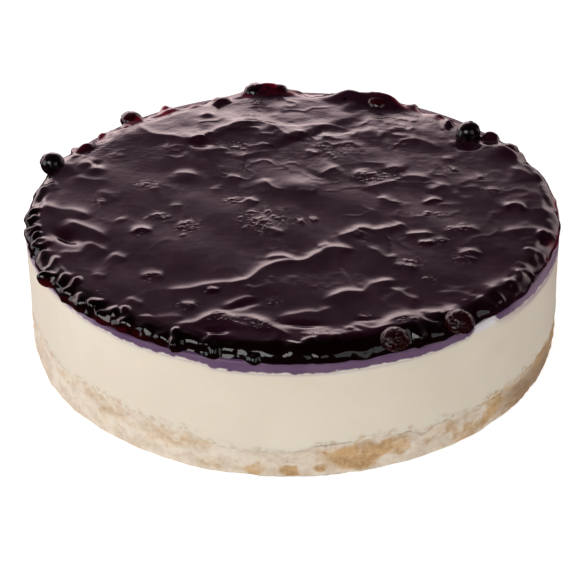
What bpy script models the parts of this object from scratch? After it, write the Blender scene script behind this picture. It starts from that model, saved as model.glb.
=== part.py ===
"""A whole baked cheesecake with a glossy berry topping, at its real size in metres, +Z up.

From the bottom it has a crumb base, the pale cheese filling, a thin layer of the same cream
stained by the fruit, and a thick berry topping with whole berries set in it. The origin is on
the cake's axis, at the bottom face of the crumb base. The front, where the cake was looked at,
is towards -Y. Lengths in the named values are millimetres and angles are degrees from +X.
"""
import math

import bmesh
import bpy
import numpy as np
from mathutils import Euler, noise, Vector

MM = 0.001

# Driving dimensions of the cake
CAKE_RADIUS = 115.0
FOOT_RADIUS = 117.0
CREAM_TOP = 53.5
TOPPING_LEVEL = 58.6
GAP = 0.3
SIDES = 96

# The crumb base: its top edge rises and falls round the side, as (angle, height) stations
BASE_INNER_TOP = 14.0
BASE_EDGE = ((0, 15), (30, 13), (60, 16), (95, 14), (130, 17), (165, 15), (190, 18), (205, 19),
             (228, 19), (246, 18), (257, 12.5), (268, 12), (275, 15), (284, 16), (292, 15),
             (295, 11.5), (299, 14.5), (312, 14), (324, 15), (342, 13.5))
BASE_EDGE_DEPTH = 16.0
CRUMB_RELIEF = 0.8

# The stained layer: its lower edge on the side, with a pale gap near 309 degrees
BAND_INNER_FOOT = 49.5
BAND_EDGE = ((0, 49), (40, 50), (80, 49.3), (120, 50), (160, 50.2), (200, 51.2), (228, 51),
             (240, 50.3), (252, 50.2), (255, 48.6), (275, 48.2), (300, 48.6), (305, 49.2),
             (307.5, 52.4), (311.5, 52.4), (314, 49.2), (325, 48.8), (345, 49))
BAND_EDGE_DEPTH = 12.0
CREAM_RELIEF = 0.35
CREAM_EDGE_ROUND = 1.4

# The berry topping: a flat top with a rounded shoulder that comes down to the cream's edge
TOPPING_RADIUS = 114.6
BACK_DRAW_IN = 3.4
SHOULDER_WIDTH = 8.6
BACK_SHOULDER_MORE = 5.4
TOPPING_RINGS = 34
TOPPING_SIDES = 192
SHOULDER_STEPS = 8
TOPPING_KEEP = 0.28

# Folds in the topping: (height, width on the far side, width on the near side, path)
FOLDS = (
    (1.00, 2.8, 13.0, ((-50, -73), (-43, -72.5), (-38.5, -71), (-34, -69), (-28.5, -68), (-23, -68),
                      (-18, -66), (-12, -58), (-8, -54.5), (-4, -53), (2, -52.5), (6, -51.5),
                      (10, -47), (14, -44), (18.5, -43.5), (25, -45))),
    (0.40, 2.4, 5.0, ((-6, -53.5), (2, -52.5), (8, -50), (14, -44.5))),
    (0.95, 2.7, 11.0, ((18, -33.5), (22, -32.5), (25, -31), (27.5, -28.5), (30, -28.5), (33, -30),
                      (36.5, -29.5), (40, -28), (44, -30))),
    (0.80, 2.6, 10.0, ((10, -82.5), (14, -79.5), (17, -77.5), (20, -76), (26.5, -76), (28.5, -73.5),
                      (30.5, -70.5), (33.5, -69.5), (41, -67.5))),
    (1.10, 3.6, 4.0, ((-48, -97), (-42.5, -96.5), (-38.5, -96.5), (-36, -95.5), (-33, -92.5),
                      (-30, -90.5), (-27, -90.5), (-24, -92.5), (-19, -92.5), (-14.5, -94),
                      (-11.5, -96.5), (-8.5, -100), (-5, -103.5), (-1, -106))),
    (1.00, 3.4, 4.0, ((2, -103.5), (7, -105), (12.5, -105.5), (17.5, -105), (21.5, -104), (26, -103.5))),
    (1.00, 3.0, 4.0, ((73, -79.5), (78, -75.5), (81.5, -73.5), (84.5, -71.5), (88.5, -68), (92, -65),
                      (96, -63))),
    (0.90, 3.0, 5.0, ((-110, -3), (-104, -7), (-99, -9), (-93.5, -10), (-89.5, -13), (-86.5, -17.5))),
    (1.00, 3.0, 5.5, ((-97, -17), (-92, -21.5), (-87.5, -24.5), (-83, -27.5), (-79.5, -31),
                      (-75.5, -34))),
    (2.20, 14.0, 14.0, ((-76, 72), (-66.5, 60), (-57, 57), (-47, 52), (-40, 54.5), (-33.5, 61.5),
                       (-26, 66.5), (-20.5, 69), (-14.5, 69.5), (-9, 66), (-4, 58.5), (2, 50))),
    (1.20, 6.0, 8.0, ((-5, 63.5), (0.5, 64), (6, 66), (13, 67), (19.5, 66), (26, 63))),
    (1.00, 6.0, 8.0, ((27, 62), (31.5, 59.5), (36, 60.5), (41, 62.5))),
    (1.50, 5.5, 3.5, ((10.5, 17), (15, 21), (18, 24), (22, 27))),
    (1.00, 4.0, 4.5, ((30, 5), (33.5, 8), (37, 9.5), (41.5, 11.5), (47, 13.5))),
    (1.00, 5.0, 5.0, ((40, 22.5), (43, 24), (47, 25), (51, 22))),
    (0.90, 3.2, 4.5, ((-12.5, 16.5), (-11, 12), (-9, 8.5), (-6, 6), (-1.5, 5))),
    (0.90, 4.0, 4.0, ((51, 50), (57, 51), (61.5, 49.5), (65, 46.5), (68.5, 41))),
    (0.90, 3.0, 4.5, ((97.5, 23), (101.5, 20.5), (104.5, 17), (107.5, 11.5))),
    (0.90, 5.0, 5.0, ((-42, 40.5), (-35.5, 42.5), (-28, 44))),
    (0.90, 4.0, 4.0, ((-26, 36), (-20.5, 37.5), (-15.5, 40.5), (-8, 42))),
)

# How round a fold's crest is, over what length it fades at its ends, how much narrower it is
# there, and how wide the change from its far side to its near side is
CREST_ROUND = 0.5
FOLD_FADE = 8.0
FOLD_END_SHARE = 0.15
FOLD_END_WIDTH = 0.55
FOLD_SIDE_CHANGE = 1.2

# The slow rise and fall of the top: (height, length along X, shift, length along Y, shift), then
# (height, slant, length), and its strength at the front with what the back has more
CROSS_WAVE = (0.55, 15.0, 1.1, 18.0, -0.6)
SLANT_WAVE = (0.35, 1.7, 11.0)
WAVE_STRENGTH = 0.5
BACK_WAVE_MORE = 0.9
BACK_WAVES_FROM = 10.0
BACK_WAVES_OVER = 70.0

# Soft swellings of the topping, and the glaze drawn up round the berries: (x, y, radius, height)
BUMPS = (
    (-47, 20, 6.0, 0.7), (-88, 26, 4.5, 0.9), (-40, 78, 3.4, 0.9), (44, -98, 8.0, 1.2),
    (30, 88, 6.0, 1.4), (-92, 31, 4.0, 0.9), (31, 18, 5.0, 0.7), (3, 8, 9.0, 0.7),
    (-15.5, 106, 8.5, 4.6), (-8, 105.5, 8.5, 4.2), (28.5, 96.5, 9.0, 4.0),
    (43, 91, 9.5, 4.2), (99, 40, 8.5, 3.0), (-76, 77.5, 8.0, 5.2),
    (-106, 31, 8.0, 1.6), (60.5, -93, 7.0, 1.6), (36.5, -102.5, 7.5, 1.6),
)

# Hollows in the topping: (x, y, length, width, angle of the length, depth)
HOLLOWS = (
    (-94, -31, 13, 6.0, -40, 2.4), (3, -97.5, 14, 3.5, -5, 1.0), (-20, -84, 12, 4.0, 25, 0.8),
    (-29, -100.5, 8, 3.0, 0, 1.2), (53, -95, 7, 2.5, 0, 0.8), (81, 44, 7, 4.0, 0, 3.0),
    (27, -95, 7, 2.0, 0, 0.5), (-42, 47.5, 9, 5.0, 0, 0.9), (-88, 31, 6, 4.0, -60, 0.6),
)

# Lumps of fruit under the glaze along the edge: (angle, distance from the axis, height, radius)
EDGE_LUMPS = (
    (184.0, 110.6, 55.0, 3.4), (188.0, 110.8, 55.3, 3.6), (192.0, 110.4, 55.0, 3.4),
    (195.5, 109.8, 55.4, 3.2), (199.3, 109.8, 55.4, 4.8), (203.6, 110.0, 54.8, 3.8),
    (206.6, 109.6, 54.6, 3.6), (210.2, 113.2, 54.4, 4.0), (214.4, 110.2, 54.6, 3.8),
    (218.2, 109.8, 54.4, 4.2), (222.2, 110.4, 54.2, 4.0), (226.0, 110.2, 54.6, 4.2),
    (230.0, 110.5, 54.0, 4.2), (234.0, 110.0, 54.4, 4.4), (238.4, 110.4, 53.8, 4.2),
    (243.4, 109.2, 53.6, 5.2), (247.6, 109.2, 53.4, 5.4), (253.6, 110.2, 53.0, 4.8),
    (258.4, 111.8, 53.0, 3.4), (261.8, 112.0, 53.0, 3.4), (266.0, 108.8, 53.0, 5.4),
    (270.3, 111.4, 53.4, 4.4), (273.6, 108.8, 53.8, 4.8), (278.0, 108.4, 52.6, 5.4),
    (283.0, 108.4, 52.6, 5.4), (294.8, 110.0, 53.4, 4.4), (298.4, 108.4, 53.0, 4.6),
    (308.6, 108.4, 53.4, 4.4), (312.0, 108.6, 53.6, 4.2), (315.6, 108.6, 54.0, 4.6),
    (320.4, 108.8, 53.8, 4.8), (327.0, 109.2, 54.2, 5.2), (333.4, 109.4, 53.8, 4.2),
    (342.2, 108.6, 54.4, 5.0), (29.2, 103.8, 56.4, 3.8), (42.6, 101.4, 56.2, 4.2),
    (110.2, 101.8, 53.8, 6.0), (122.5, 103.0, 52.6, 4.8), (152.0, 105.0, 55.0, 5.0),
)
# Fainter lumps along the rest of the edge, drawn by a seeded rule
BACK_LUMPS_FROM = 38.0
BACK_LUMPS_TO = 178.0
BACK_LUMP_PITCH = 10.5
BACK_LUMP_RADIUS = (4.4, 6.0)
BACK_LUMP_OUT = (104.0, 107.0)
BACK_LUMP_LEVEL = (51.8, 53.0)
LUMP_SOFTNESS = 0.9
LUMP_BLEND = 0.4
SEED = 23

# Whole berries in the topping: (name, x, y, z, radius, height as a share, tilt, turn)
BERRIES = (
    ("berry_whole_right", 82.4, 55.4, 59.5, 5.7, 0.97, 35, 20),
    ("berry_left_edge", -107.8, 31.6, 59.2, 5.5, 0.94, 70, 160),
    ("berry_back_left", -17.2, 106.2, 57.9, 5.6, 0.70, 60, 100),
    ("berry_back_right", -5.9, 105.2, 57.8, 5.1, 0.76, 80, 60),
    ("berry_back_dark", 28.3, 96.5, 57.5, 5.6, 0.65, 50, 90),
    ("berry_back_red", 43.0, 90.6, 58.0, 6.3, 0.66, 65, 70),
    ("berry_right_red", 99.0, 40.4, 57.5, 4.9, 0.75, 80, 10),
    ("berry_left_peak", -76.4, 77.6, 57.6, 5.3, 0.70, 60, 130),
    ("berry_front_right", 62.0, -96.4, 58.3, 5.8, 0.74, 100, 305),
    ("berry_front_brown", 37.0, -107.0, 58.2, 5.6, 0.74, 95, 290),
)
BERRY_SIDES = 12
BERRY_RINGS = 8
CALYX_RADIUS = 0.45
CALYX_DEPTH = 0.16
SOCKET_ROOM = 0.5

COLOURS = {
    "crumb_base": (0.50, 0.30, 0.12, 0.85, 0.0),
    "cheese_filling": (0.78, 0.70, 0.57, 0.45, 0.0),
    "stained_layer": (0.20, 0.11, 0.19, 0.40, 0.0),
    "berry_topping": (0.035, 0.012, 0.020, 0.12, 0.0),
    "berry": (0.045, 0.006, 0.012, 0.10, 0.0),
}


def clear_scene():
    for obj in list(bpy.data.objects):
        bpy.data.objects.remove(obj, do_unlink=True)


def new_collection(name):
    collection = bpy.data.collections.new(name)
    bpy.context.scene.collection.children.link(collection)
    return collection


def material(name):
    """A Principled material with the part's colour, roughness and metallic value."""
    found = bpy.data.materials.get(name)
    if found:
        return found
    red, green, blue, roughness, metallic = COLOURS[name]
    made = bpy.data.materials.new(name)
    made.use_nodes = True
    shader = made.node_tree.nodes["Principled BSDF"]
    shader.inputs["Base Color"].default_value = (red, green, blue, 1.0)
    shader.inputs["Roughness"].default_value = roughness
    shader.inputs["Metallic"].default_value = metallic
    return made


def smooth_step(value):
    share = np.clip(value, 0.0, 1.0)
    return share * share * (3.0 - 2.0 * share)


def round_the_cake(stations, angles):
    """Reads a closed row of (angle, value) stations smoothly at the given angles."""
    at = np.array([station[0] for station in stations], dtype=float)
    values = np.array([station[1] for station in stations], dtype=float)
    at = np.concatenate((at[-1:] - 360.0, at, at[:1] + 360.0))
    values = np.concatenate((values[-1:], values, values[:1]))
    angles = np.mod(angles, 360.0)
    after = np.clip(np.searchsorted(at, angles, side="right"), 1, len(at) - 1)
    before = after - 1
    share = (angles - at[before]) / (at[after] - at[before])
    return values[before] + (values[after] - values[before]) * smooth_step(share)


def radius_at(height):
    """The cake's side leans out a little towards its foot."""
    share = np.clip(height / CREAM_TOP, 0.0, 1.0)
    return FOOT_RADIUS + (CAKE_RADIUS - FOOT_RADIUS) * share


def lathe(name, profile, sides, collection):
    """Turns a profile of (radius, height), outer side from top to bottom, into a closed mesh."""
    mesh = bpy.data.meshes.new(name + "_profile")
    points = [(radius * MM, 0.0, height * MM) for radius, height in profile]
    edges = [(index, index + 1) for index in range(len(points) - 1)]
    mesh.from_pydata(points, edges, [])
    turned = bpy.data.objects.new(name, mesh)
    collection.objects.link(turned)
    screw = turned.modifiers.new("turn", "SCREW")
    screw.axis = "Z"
    screw.steps = sides
    screw.render_steps = sides
    screw.use_merge_vertices = True
    screw.merge_threshold = 0.00001
    screw.use_smooth_shade = True
    bpy.context.view_layer.update()
    solid = bpy.data.meshes.new_from_object(turned.evaluated_get(bpy.context.evaluated_depsgraph_get()))
    solid.name = name
    turned.modifiers.clear()
    turned.data = solid
    bpy.data.meshes.remove(mesh)
    return turned


def read_points(mesh):
    points = np.empty(len(mesh.vertices) * 3)
    mesh.vertices.foreach_get("co", points)
    return points.reshape(-1, 3) / MM


def write_points(mesh, points):
    mesh.vertices.foreach_set("co", (points * MM).ravel())
    mesh.update()


def side_noise(points, scale, seed):
    """Smooth noise between -1 and 1 over the cake's side, the same on each run."""
    values = np.empty(len(points))
    shift = Vector((seed * 7.3, seed * 1.9, 0.0))
    for index, point in enumerate(points):
        values[index] = noise.noise(Vector(point) / scale + shift)
    return values


def shape_disc(obj, lower, upper, nominal, relief, grain, seed):
    """Gives a plain turned disc its wavy faces and its uneven side.

    lower and upper give the faces' heights from radius and angle. nominal holds the two
    heights that the faces have in the turned disc.
    """
    points = read_points(obj.data)
    radius = np.hypot(points[:, 0], points[:, 1])
    angle = np.degrees(np.arctan2(points[:, 1], points[:, 0]))
    share = (points[:, 2] - nominal[0]) / (nominal[1] - nominal[0])
    low = lower(radius, angle)
    high = upper(radius, angle)
    height = low + (high - low) * share
    rough = relief * side_noise(points, grain, seed) * smooth_step((radius - CAKE_RADIUS + 6.0) / 4.0)
    grown = radius * radius_at(height) / CAKE_RADIUS + rough
    points[:, 0] = grown * np.cos(np.radians(angle))
    points[:, 1] = grown * np.sin(np.radians(angle))
    points[:, 2] = height
    write_points(obj.data, points)
    split_alike(obj.data)


def split_alike(mesh):
    """Splits the four-sided faces along like diagonals, so that facing layers stay parallel."""
    shell = bmesh.new()
    shell.from_mesh(mesh)
    for face in [face for face in shell.faces if len(face.verts) == 4]:
        centre = face.calc_center_median()
        outward = Vector((centre.x, centre.y, 0.0)).normalized()
        if abs(face.normal.z) < 0.3:
            outward = Vector((0.0, 0.0, 1.0))
        slant = outward + Vector((-centre.y, centre.x, 0.0)).normalized()
        corners = sorted(face.verts, key=lambda corner: (corner.co - centre).dot(slant))
        bmesh.utils.face_split(face, corners[0], corners[3])
    shell.to_mesh(mesh)
    shell.free()


def level(height):
    """A flat face at one height."""
    return lambda radius, angle: np.full(len(radius), float(height))


def edge_face(inner, stations, depth, lift=0.0):
    """A face that is flat inside and, over its last quarter, level with the stations."""
    def face(radius, angle):
        share = smooth_step((radius - (CAKE_RADIUS - depth)) / (depth * 0.75))
        return inner + (round_the_cake(stations, angle) - inner) * share + lift
    return face


def disc_profile(bottom, top, side_rows, top_rings=(), bottom_rings=()):
    """Turned profile of a layer. A wavy face has rings, as depths in from the side."""
    side = [(CAKE_RADIUS, top + (bottom - top) * row / side_rows) for row in range(side_rows + 1)]
    upper = [(0.0, top)] + [(CAKE_RADIUS - depth, top) for depth in top_rings]
    lower = [(CAKE_RADIUS - depth, bottom) for depth in reversed(bottom_rings)] + [(0.0, bottom)]
    return upper + side + lower


def edge_rings(depth):
    """Rings that follow a face from where it starts to rise to where it is level again."""
    return (depth, depth * 0.6, depth * 0.25)


def finish_piece(obj, colour):
    obj.data.materials.clear()
    obj.data.materials.append(material(colour))
    obj.data.shade_smooth()
    obj.data.set_sharp_from_angle(angle=math.radians(40.0))


def make_crumb_base(collection):
    profile = disc_profile(0.0, BASE_INNER_TOP, 3, top_rings=edge_rings(BASE_EDGE_DEPTH))
    base = lathe("crumb_base", profile, SIDES, collection)
    top = edge_face(BASE_INNER_TOP, BASE_EDGE, BASE_EDGE_DEPTH)
    shape_disc(base, level(0.0), top, (0.0, BASE_INNER_TOP), CRUMB_RELIEF, 4.0, 1)
    finish_piece(base, "crumb_base")


def make_cheese_filling(collection):
    nominal = (BASE_INNER_TOP + GAP, BAND_INNER_FOOT - GAP)
    profile = disc_profile(nominal[0], nominal[1], 4, edge_rings(BAND_EDGE_DEPTH),
                           edge_rings(BASE_EDGE_DEPTH))
    filling = lathe("cheese_filling", profile, SIDES, collection)
    bottom = edge_face(BASE_INNER_TOP, BASE_EDGE, BASE_EDGE_DEPTH, GAP)
    top = edge_face(BAND_INNER_FOOT, BAND_EDGE, BAND_EDGE_DEPTH, -GAP)
    shape_disc(filling, bottom, top, nominal, CREAM_RELIEF, 22.0, 2)
    finish_piece(filling, "cheese_filling")


def make_stained_layer(collection):
    profile = disc_profile(BAND_INNER_FOOT, CREAM_TOP, 2, bottom_rings=edge_rings(BAND_EDGE_DEPTH))
    rim = profile.index((CAKE_RADIUS, CREAM_TOP))
    profile[rim] = (CAKE_RADIUS - CREAM_EDGE_ROUND, CREAM_TOP)
    profile.insert(rim + 1, (CAKE_RADIUS - CREAM_EDGE_ROUND * 0.3, CREAM_TOP - CREAM_EDGE_ROUND * 0.12))
    layer = lathe("stained_layer", profile, SIDES, collection)
    bottom = edge_face(BAND_INNER_FOOT, BAND_EDGE, BAND_EDGE_DEPTH)
    nominal = (BAND_INNER_FOOT, CREAM_TOP)
    shape_disc(layer, bottom, level(CREAM_TOP), nominal, CREAM_RELIEF, 22.0, 2)
    finish_piece(layer, "stained_layer")


def smooth_path(points, pieces=5):
    """A Catmull-Rom curve through hand-placed points."""
    ends = [points[0]] + list(points) + [points[-1]]
    rows = np.array(ends, dtype=float)
    curve = []
    for index in range(1, len(rows) - 2):
        before, start, end, after = rows[index - 1:index + 3]
        for step in range(pieces):
            share = step / pieces
            curve.append(0.5 * (2.0 * start + (end - before) * share
                                + (2.0 * before - 5.0 * start + 4.0 * end - after) * share ** 2
                                + (3.0 * start - before - 3.0 * end + after) * share ** 3))
    curve.append(rows[-1])
    return np.array(curve)


def nearest_on_path(places, path):
    """Distance to a path, how far along it the nearest place is, and how far beyond it."""
    reached = np.concatenate(((0.0,), np.cumsum(np.hypot(*np.diff(path, axis=0).T))))
    best = np.full(len(places), 1e9)
    along = np.zeros(len(places))
    beyond = np.zeros(len(places))
    for index in range(len(path) - 1):
        start, run = path[index], path[index + 1] - path[index]
        share = np.clip(((places - start) @ run) / max(run @ run, 1e-9), 0.0, 1.0)
        offset = places - (start + share[:, None] * run)
        distance = np.hypot(offset[:, 0], offset[:, 1])
        closer = distance < best
        best = np.where(closer, distance, best)
        along = np.where(closer, reached[index] + share * np.hypot(*run), along)
        beyond = np.where(closer, offset[:, 1], beyond)
    return best, along, beyond, reached[-1]


def fold_height(places, fold):
    """A ridge with a narrow crest, gentler on one side than on the other, fading at its ends."""
    height, far_width, near_width, points = fold
    distance, along, beyond, length = nearest_on_path(places, smooth_path(points))
    fade = min(FOLD_FADE, 0.35 * length)
    ends = smooth_step(np.minimum(along, length - along) / fade + FOLD_END_SHARE)
    width = near_width + (far_width - near_width) * smooth_step(beyond / FOLD_SIDE_CHANGE + 0.5)
    width *= FOLD_END_WIDTH + (1.0 - FOLD_END_WIDTH) * ends
    return height * ends * np.exp(-(np.hypot(distance, CREST_ROUND) - CREST_ROUND) / width)


def bump_height(places, bump):
    x, y, radius, height = bump
    distance = np.hypot(places[:, 0] - x, places[:, 1] - y)
    return height * np.exp(-(distance / radius) ** 2 * 1.6)


def hollow_depth(places, hollow):
    x, y, length, width, turn, depth = hollow
    across = np.array((math.cos(math.radians(turn)), math.sin(math.radians(turn))))
    offset = places - (x, y)
    share = (offset @ across / (length * 0.5)) ** 2
    share += (offset @ np.array((-across[1], across[0])) / (width * 0.5)) ** 2
    return depth * np.exp(-share)


def waves(places):
    """The slow rise and fall of the whole topping, stronger towards the back."""
    x, y = places[:, 0], places[:, 1]
    height, along_x, shift_x, along_y, shift_y = CROSS_WAVE
    swell = height * np.sin(x / along_x + shift_x) * np.cos(y / along_y + shift_y)
    height, slant, along = SLANT_WAVE
    swell += height * np.sin((x + slant * y) / along)
    return swell * (WAVE_STRENGTH + BACK_WAVE_MORE * smooth_step((y - BACK_WAVES_FROM) / BACK_WAVES_OVER))


def edge_lumps():
    """The lumps placed by hand, and fainter seeded ones along the rest of the edge."""
    rng = np.random.default_rng(SEED)
    lumps = list(EDGE_LUMPS)
    angle = BACK_LUMPS_FROM
    while angle < BACK_LUMPS_TO:
        lumps.append((angle, rng.uniform(*BACK_LUMP_OUT), rng.uniform(*BACK_LUMP_LEVEL),
                      rng.uniform(*BACK_LUMP_RADIUS)))
        angle += BACK_LUMP_PITCH * rng.uniform(0.8, 1.25)
    return lumps


def lump_swell(points, normals):
    """How far each point of the plain topping moves out along its normal to wrap the lumps."""
    total = np.ones(len(points))
    for angle, out, z, radius in edge_lumps():
        turn = math.radians(angle)
        toward = np.array((out * math.cos(turn), out * math.sin(turn), z)) - points
        along = np.einsum("ij,ij->i", toward, normals)
        aside = np.einsum("ij,ij->i", toward, toward) - along ** 2
        reach = along + np.sqrt(np.clip(radius ** 2 - aside, 0.0, None))
        held = smooth_step((radius ** 2 - aside) / (LUMP_BLEND * radius ** 2))
        total += held * np.exp(np.clip(reach, -20.0, 20.0) / LUMP_SOFTNESS)
    return LUMP_SOFTNESS * np.log(total)


def topping_relief(points, normals):
    """Moves the plain turned topping out to its folds, bumps, hollows and edge lumps."""
    places = points[:, :2]
    rise = waves(places)
    for fold in FOLDS:
        rise += fold_height(places, fold)
    for bump in BUMPS:
        rise += bump_height(places, bump)
    for hollow in HOLLOWS:
        rise -= hollow_depth(places, hollow)
    moved = points + normals * lump_swell(points, normals)[:, None]
    moved[:, 2] += rise * np.clip(normals[:, 2], 0.0, 1.0)
    return moved


def behind(angle):
    """From 0 at the front and sides to 1 at the back."""
    return smooth_step((np.sin(np.radians(angle)) - 0.15) / 0.5)


def edge_radius(angle):
    return TOPPING_RADIUS - BACK_DRAW_IN * behind(angle)


def shoulder_width(angle):
    return SHOULDER_WIDTH + BACK_SHOULDER_MORE * behind(angle)


def make_berry_topping(collection, sockets):
    """The topping: turned plain, given its relief, thinned where it is smooth, then socketed."""
    bottom = CREAM_TOP + GAP
    drop = TOPPING_LEVEL - bottom
    flat = TOPPING_RADIUS - SHOULDER_WIDTH
    profile = [(flat * ring / TOPPING_RINGS, TOPPING_LEVEL) for ring in range(TOPPING_RINGS + 1)]
    for step in range(1, SHOULDER_STEPS + 1):
        turn = 0.5 * math.pi * step / SHOULDER_STEPS
        profile.append((flat + SHOULDER_WIDTH * math.sin(turn), bottom + drop * math.cos(turn)))
    profile.append((0.0, bottom))
    topping = lathe("berry_topping", profile, TOPPING_SIDES, collection)
    points = read_points(topping.data)
    radius = np.hypot(points[:, 0], points[:, 1])
    angle = np.degrees(np.arctan2(points[:, 1], points[:, 0]))
    under = points[:, 2] < bottom + 0.001
    share = np.clip((radius - flat) / SHOULDER_WIDTH, 0.0, 1.0)
    width = shoulder_width(angle)
    rim = edge_radius(angle)
    inset = np.where(radius > flat, rim - width + share * width, radius * (rim - width) / flat)
    scale = np.where(radius > 0.001, inset / np.maximum(radius, 0.001), 1.0)
    points[:, :2] *= scale[:, None]
    slope = share / width
    fall = np.sqrt(np.clip(1.0 - share ** 2, 0.0, 1.0)) / drop
    size = np.maximum(np.hypot(slope, fall), 1e-9)
    turn = np.radians(angle)
    normals = np.column_stack((slope / size * np.cos(turn), slope / size * np.sin(turn), fall / size))
    moved = topping_relief(points, normals)
    moved[:, 2] = np.maximum(moved[:, 2], bottom)
    middle = under & (radius < 1.0)
    moved[under, 2] = bottom
    moved[middle] = points[middle]
    write_points(topping.data, moved)
    thin = topping.modifiers.new("thin", "DECIMATE")
    thin.ratio = TOPPING_KEEP
    for cutter in sockets:
        cut = topping.modifiers.new("socket", "BOOLEAN")
        cut.operation = "DIFFERENCE"
        cut.solver = "EXACT"
        cut.object = cutter
    finish_piece(topping, "berry_topping")


def berry_mesh(name, radius, height, tilt, turn):
    """A round berry with the hollow crown at its top, tilted, then squashed to its height."""
    bpy.ops.mesh.primitive_uv_sphere_add(segments=BERRY_SIDES, ring_count=BERRY_RINGS, radius=radius * MM)
    ball = bpy.context.active_object
    mesh = ball.data
    mesh.name = name
    points = read_points(mesh)
    across = np.hypot(points[:, 0], points[:, 1]) / radius
    crown = (points[:, 2] > 0.0) * np.exp(-(across / CALYX_RADIUS) ** 2 * 2.0)
    points[:, 2] -= CALYX_DEPTH * radius * crown
    facing = Euler((0.0, math.radians(tilt), math.radians(turn)), "XYZ").to_matrix()
    points = points @ np.array(facing).T
    points[:, 2] *= height
    write_points(mesh, points)
    for collection in list(ball.users_collection):
        collection.objects.unlink(ball)
    return ball


def make_berries(collection, cutters):
    """Each whole berry, with a slightly larger copy of it that cuts its socket."""
    sockets = []
    for name, x, y, z, radius, height, tilt, turn in BERRIES:
        berry = berry_mesh(name, radius, height, tilt, turn)
        berry.name = name
        berry.location = (x * MM, y * MM, z * MM)
        collection.objects.link(berry)
        finish_piece(berry, "berry")
        socket = bpy.data.objects.new(name + "_socket", berry.data.copy())
        socket.location = berry.location
        room = read_points(socket.data) * (radius * height + SOCKET_ROOM) / (radius * height)
        write_points(socket.data, room)
        socket.hide_render = True
        socket.display_type = "WIRE"
        cutters.objects.link(socket)
        sockets.append(socket)
    return sockets


def main():
    clear_scene()
    cake = new_collection("baked_cheesecake")
    cutters = new_collection("cutters")
    make_crumb_base(cake)
    make_cheese_filling(cake)
    make_stained_layer(cake)
    sockets = make_berries(cake, cutters)
    make_berry_topping(cake, sockets)


main()
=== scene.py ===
"""The looks of a whole baked cheesecake with a glossy berry topping.

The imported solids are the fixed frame. Each one is replaced by a finer mesh of the same form:
the topping with its folds and its wet lumpy edge, the whole berries, the cream side with its
stained band, and the crumb base. Lengths in the named values are millimetres, angles are
degrees from +X, and the front is towards -Y.
"""

import math

import bpy
import numpy as np
from mathutils import Euler, Matrix, Vector


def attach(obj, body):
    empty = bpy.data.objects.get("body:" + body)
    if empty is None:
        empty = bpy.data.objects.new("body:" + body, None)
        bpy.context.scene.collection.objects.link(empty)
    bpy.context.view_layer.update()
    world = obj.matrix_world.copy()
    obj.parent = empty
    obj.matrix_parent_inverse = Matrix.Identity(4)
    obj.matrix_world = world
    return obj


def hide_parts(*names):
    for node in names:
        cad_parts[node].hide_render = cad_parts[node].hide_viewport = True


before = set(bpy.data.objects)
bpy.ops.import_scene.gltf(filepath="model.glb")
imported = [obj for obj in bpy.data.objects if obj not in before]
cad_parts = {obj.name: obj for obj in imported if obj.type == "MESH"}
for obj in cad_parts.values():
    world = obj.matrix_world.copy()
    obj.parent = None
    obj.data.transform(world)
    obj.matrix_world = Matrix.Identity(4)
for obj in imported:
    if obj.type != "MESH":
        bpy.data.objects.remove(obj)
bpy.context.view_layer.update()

MM = 0.001

# The cake's sizes, as in the solids
CAKE_RADIUS = 115.0
FOOT_RADIUS = 117.0
CREAM_TOP = 53.5
TOPPING_LEVEL = 58.6
TOPPING_RADIUS = 114.6
BACK_DRAW_IN = 3.4
SHOULDER_WIDTH = 8.6
BACK_SHOULDER_MORE = 5.4
# Where the back begins, and over how much it sets in, as sines of the angle
BACK_FROM = 0.15
BACK_OVER = 0.5

# How far in from the side its mesh is fine
FINE_SIDE_DEPTH = 14.0
# How far the topping reaches down past the cream's top
TOPPING_LAP = 0.4

# How finely each surface is made
TOPPING_SIDES = 650
TOPPING_RINGS = 128
SHOULDER_STEPS = 20
SIDE_STEPS = 900
CRUMB_ROWS = 30
CREAM_ROWS = 60
BAND_ROWS = 10
BAND_RIM_STEPS = 5

# The camera: the photograph's view of the cake
CAMERA_PLACE = (-2.36, -541.13, 367.28)
CAMERA_DOWN = 33.352
CAMERA_ROLL = -0.743
CAMERA_LENS = 89.655

# The studio behind the cake: how bright it is low down and higher up, between which heights
# above the horizon, in degrees, the one gives way to the other, and how it darkens overhead
GLOW_STRENGTH = 2.8
DIM_STRENGTH = 0.18
HORIZON_BRIGHT = 15.5
HORIZON_DIM = 31.7
OVERHEAD_FROM = 38.0
OVERHEAD_TO = 68.0
OVERHEAD_SHARE = 0.2
GLOW_COLOUR = (1.0, 0.77, 0.78)
DIM_COLOUR = (1.0, 0.70, 0.87)

# The soft boxes: (name, place, width, height, radiance, colour), and the point of the cake that
# they are aimed at, all in metres
LIGHTS = (
    ("key", (-0.9, -1.15, 1.15), 1.1, 0.8, 4.4, (1.0, 1.0, 1.0)),
    ("fill", (0.9, -1.1, 0.9), 1.2, 1.0, 0.95, (1.0, 1.0, 1.0)),
    ("side", (-1.3, -0.1, 0.4), 0.7, 0.6, 2.4, (0.80, 0.91, 1.0)),
)
LIGHT_AIM = (0.0, 0.0, 0.03)

# The line of the long gentle fold at the back, which a wrinkle follows too
BACK_FOLD = ((-76, 72), (-66.5, 60), (-57, 57), (-47, 52), (-40, 54.5), (-33.5, 61.5), (-26, 66.5),
             (-20.5, 69), (-14.5, 69.5), (-9, 66), (-4, 58.5), (2, 50))

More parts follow.
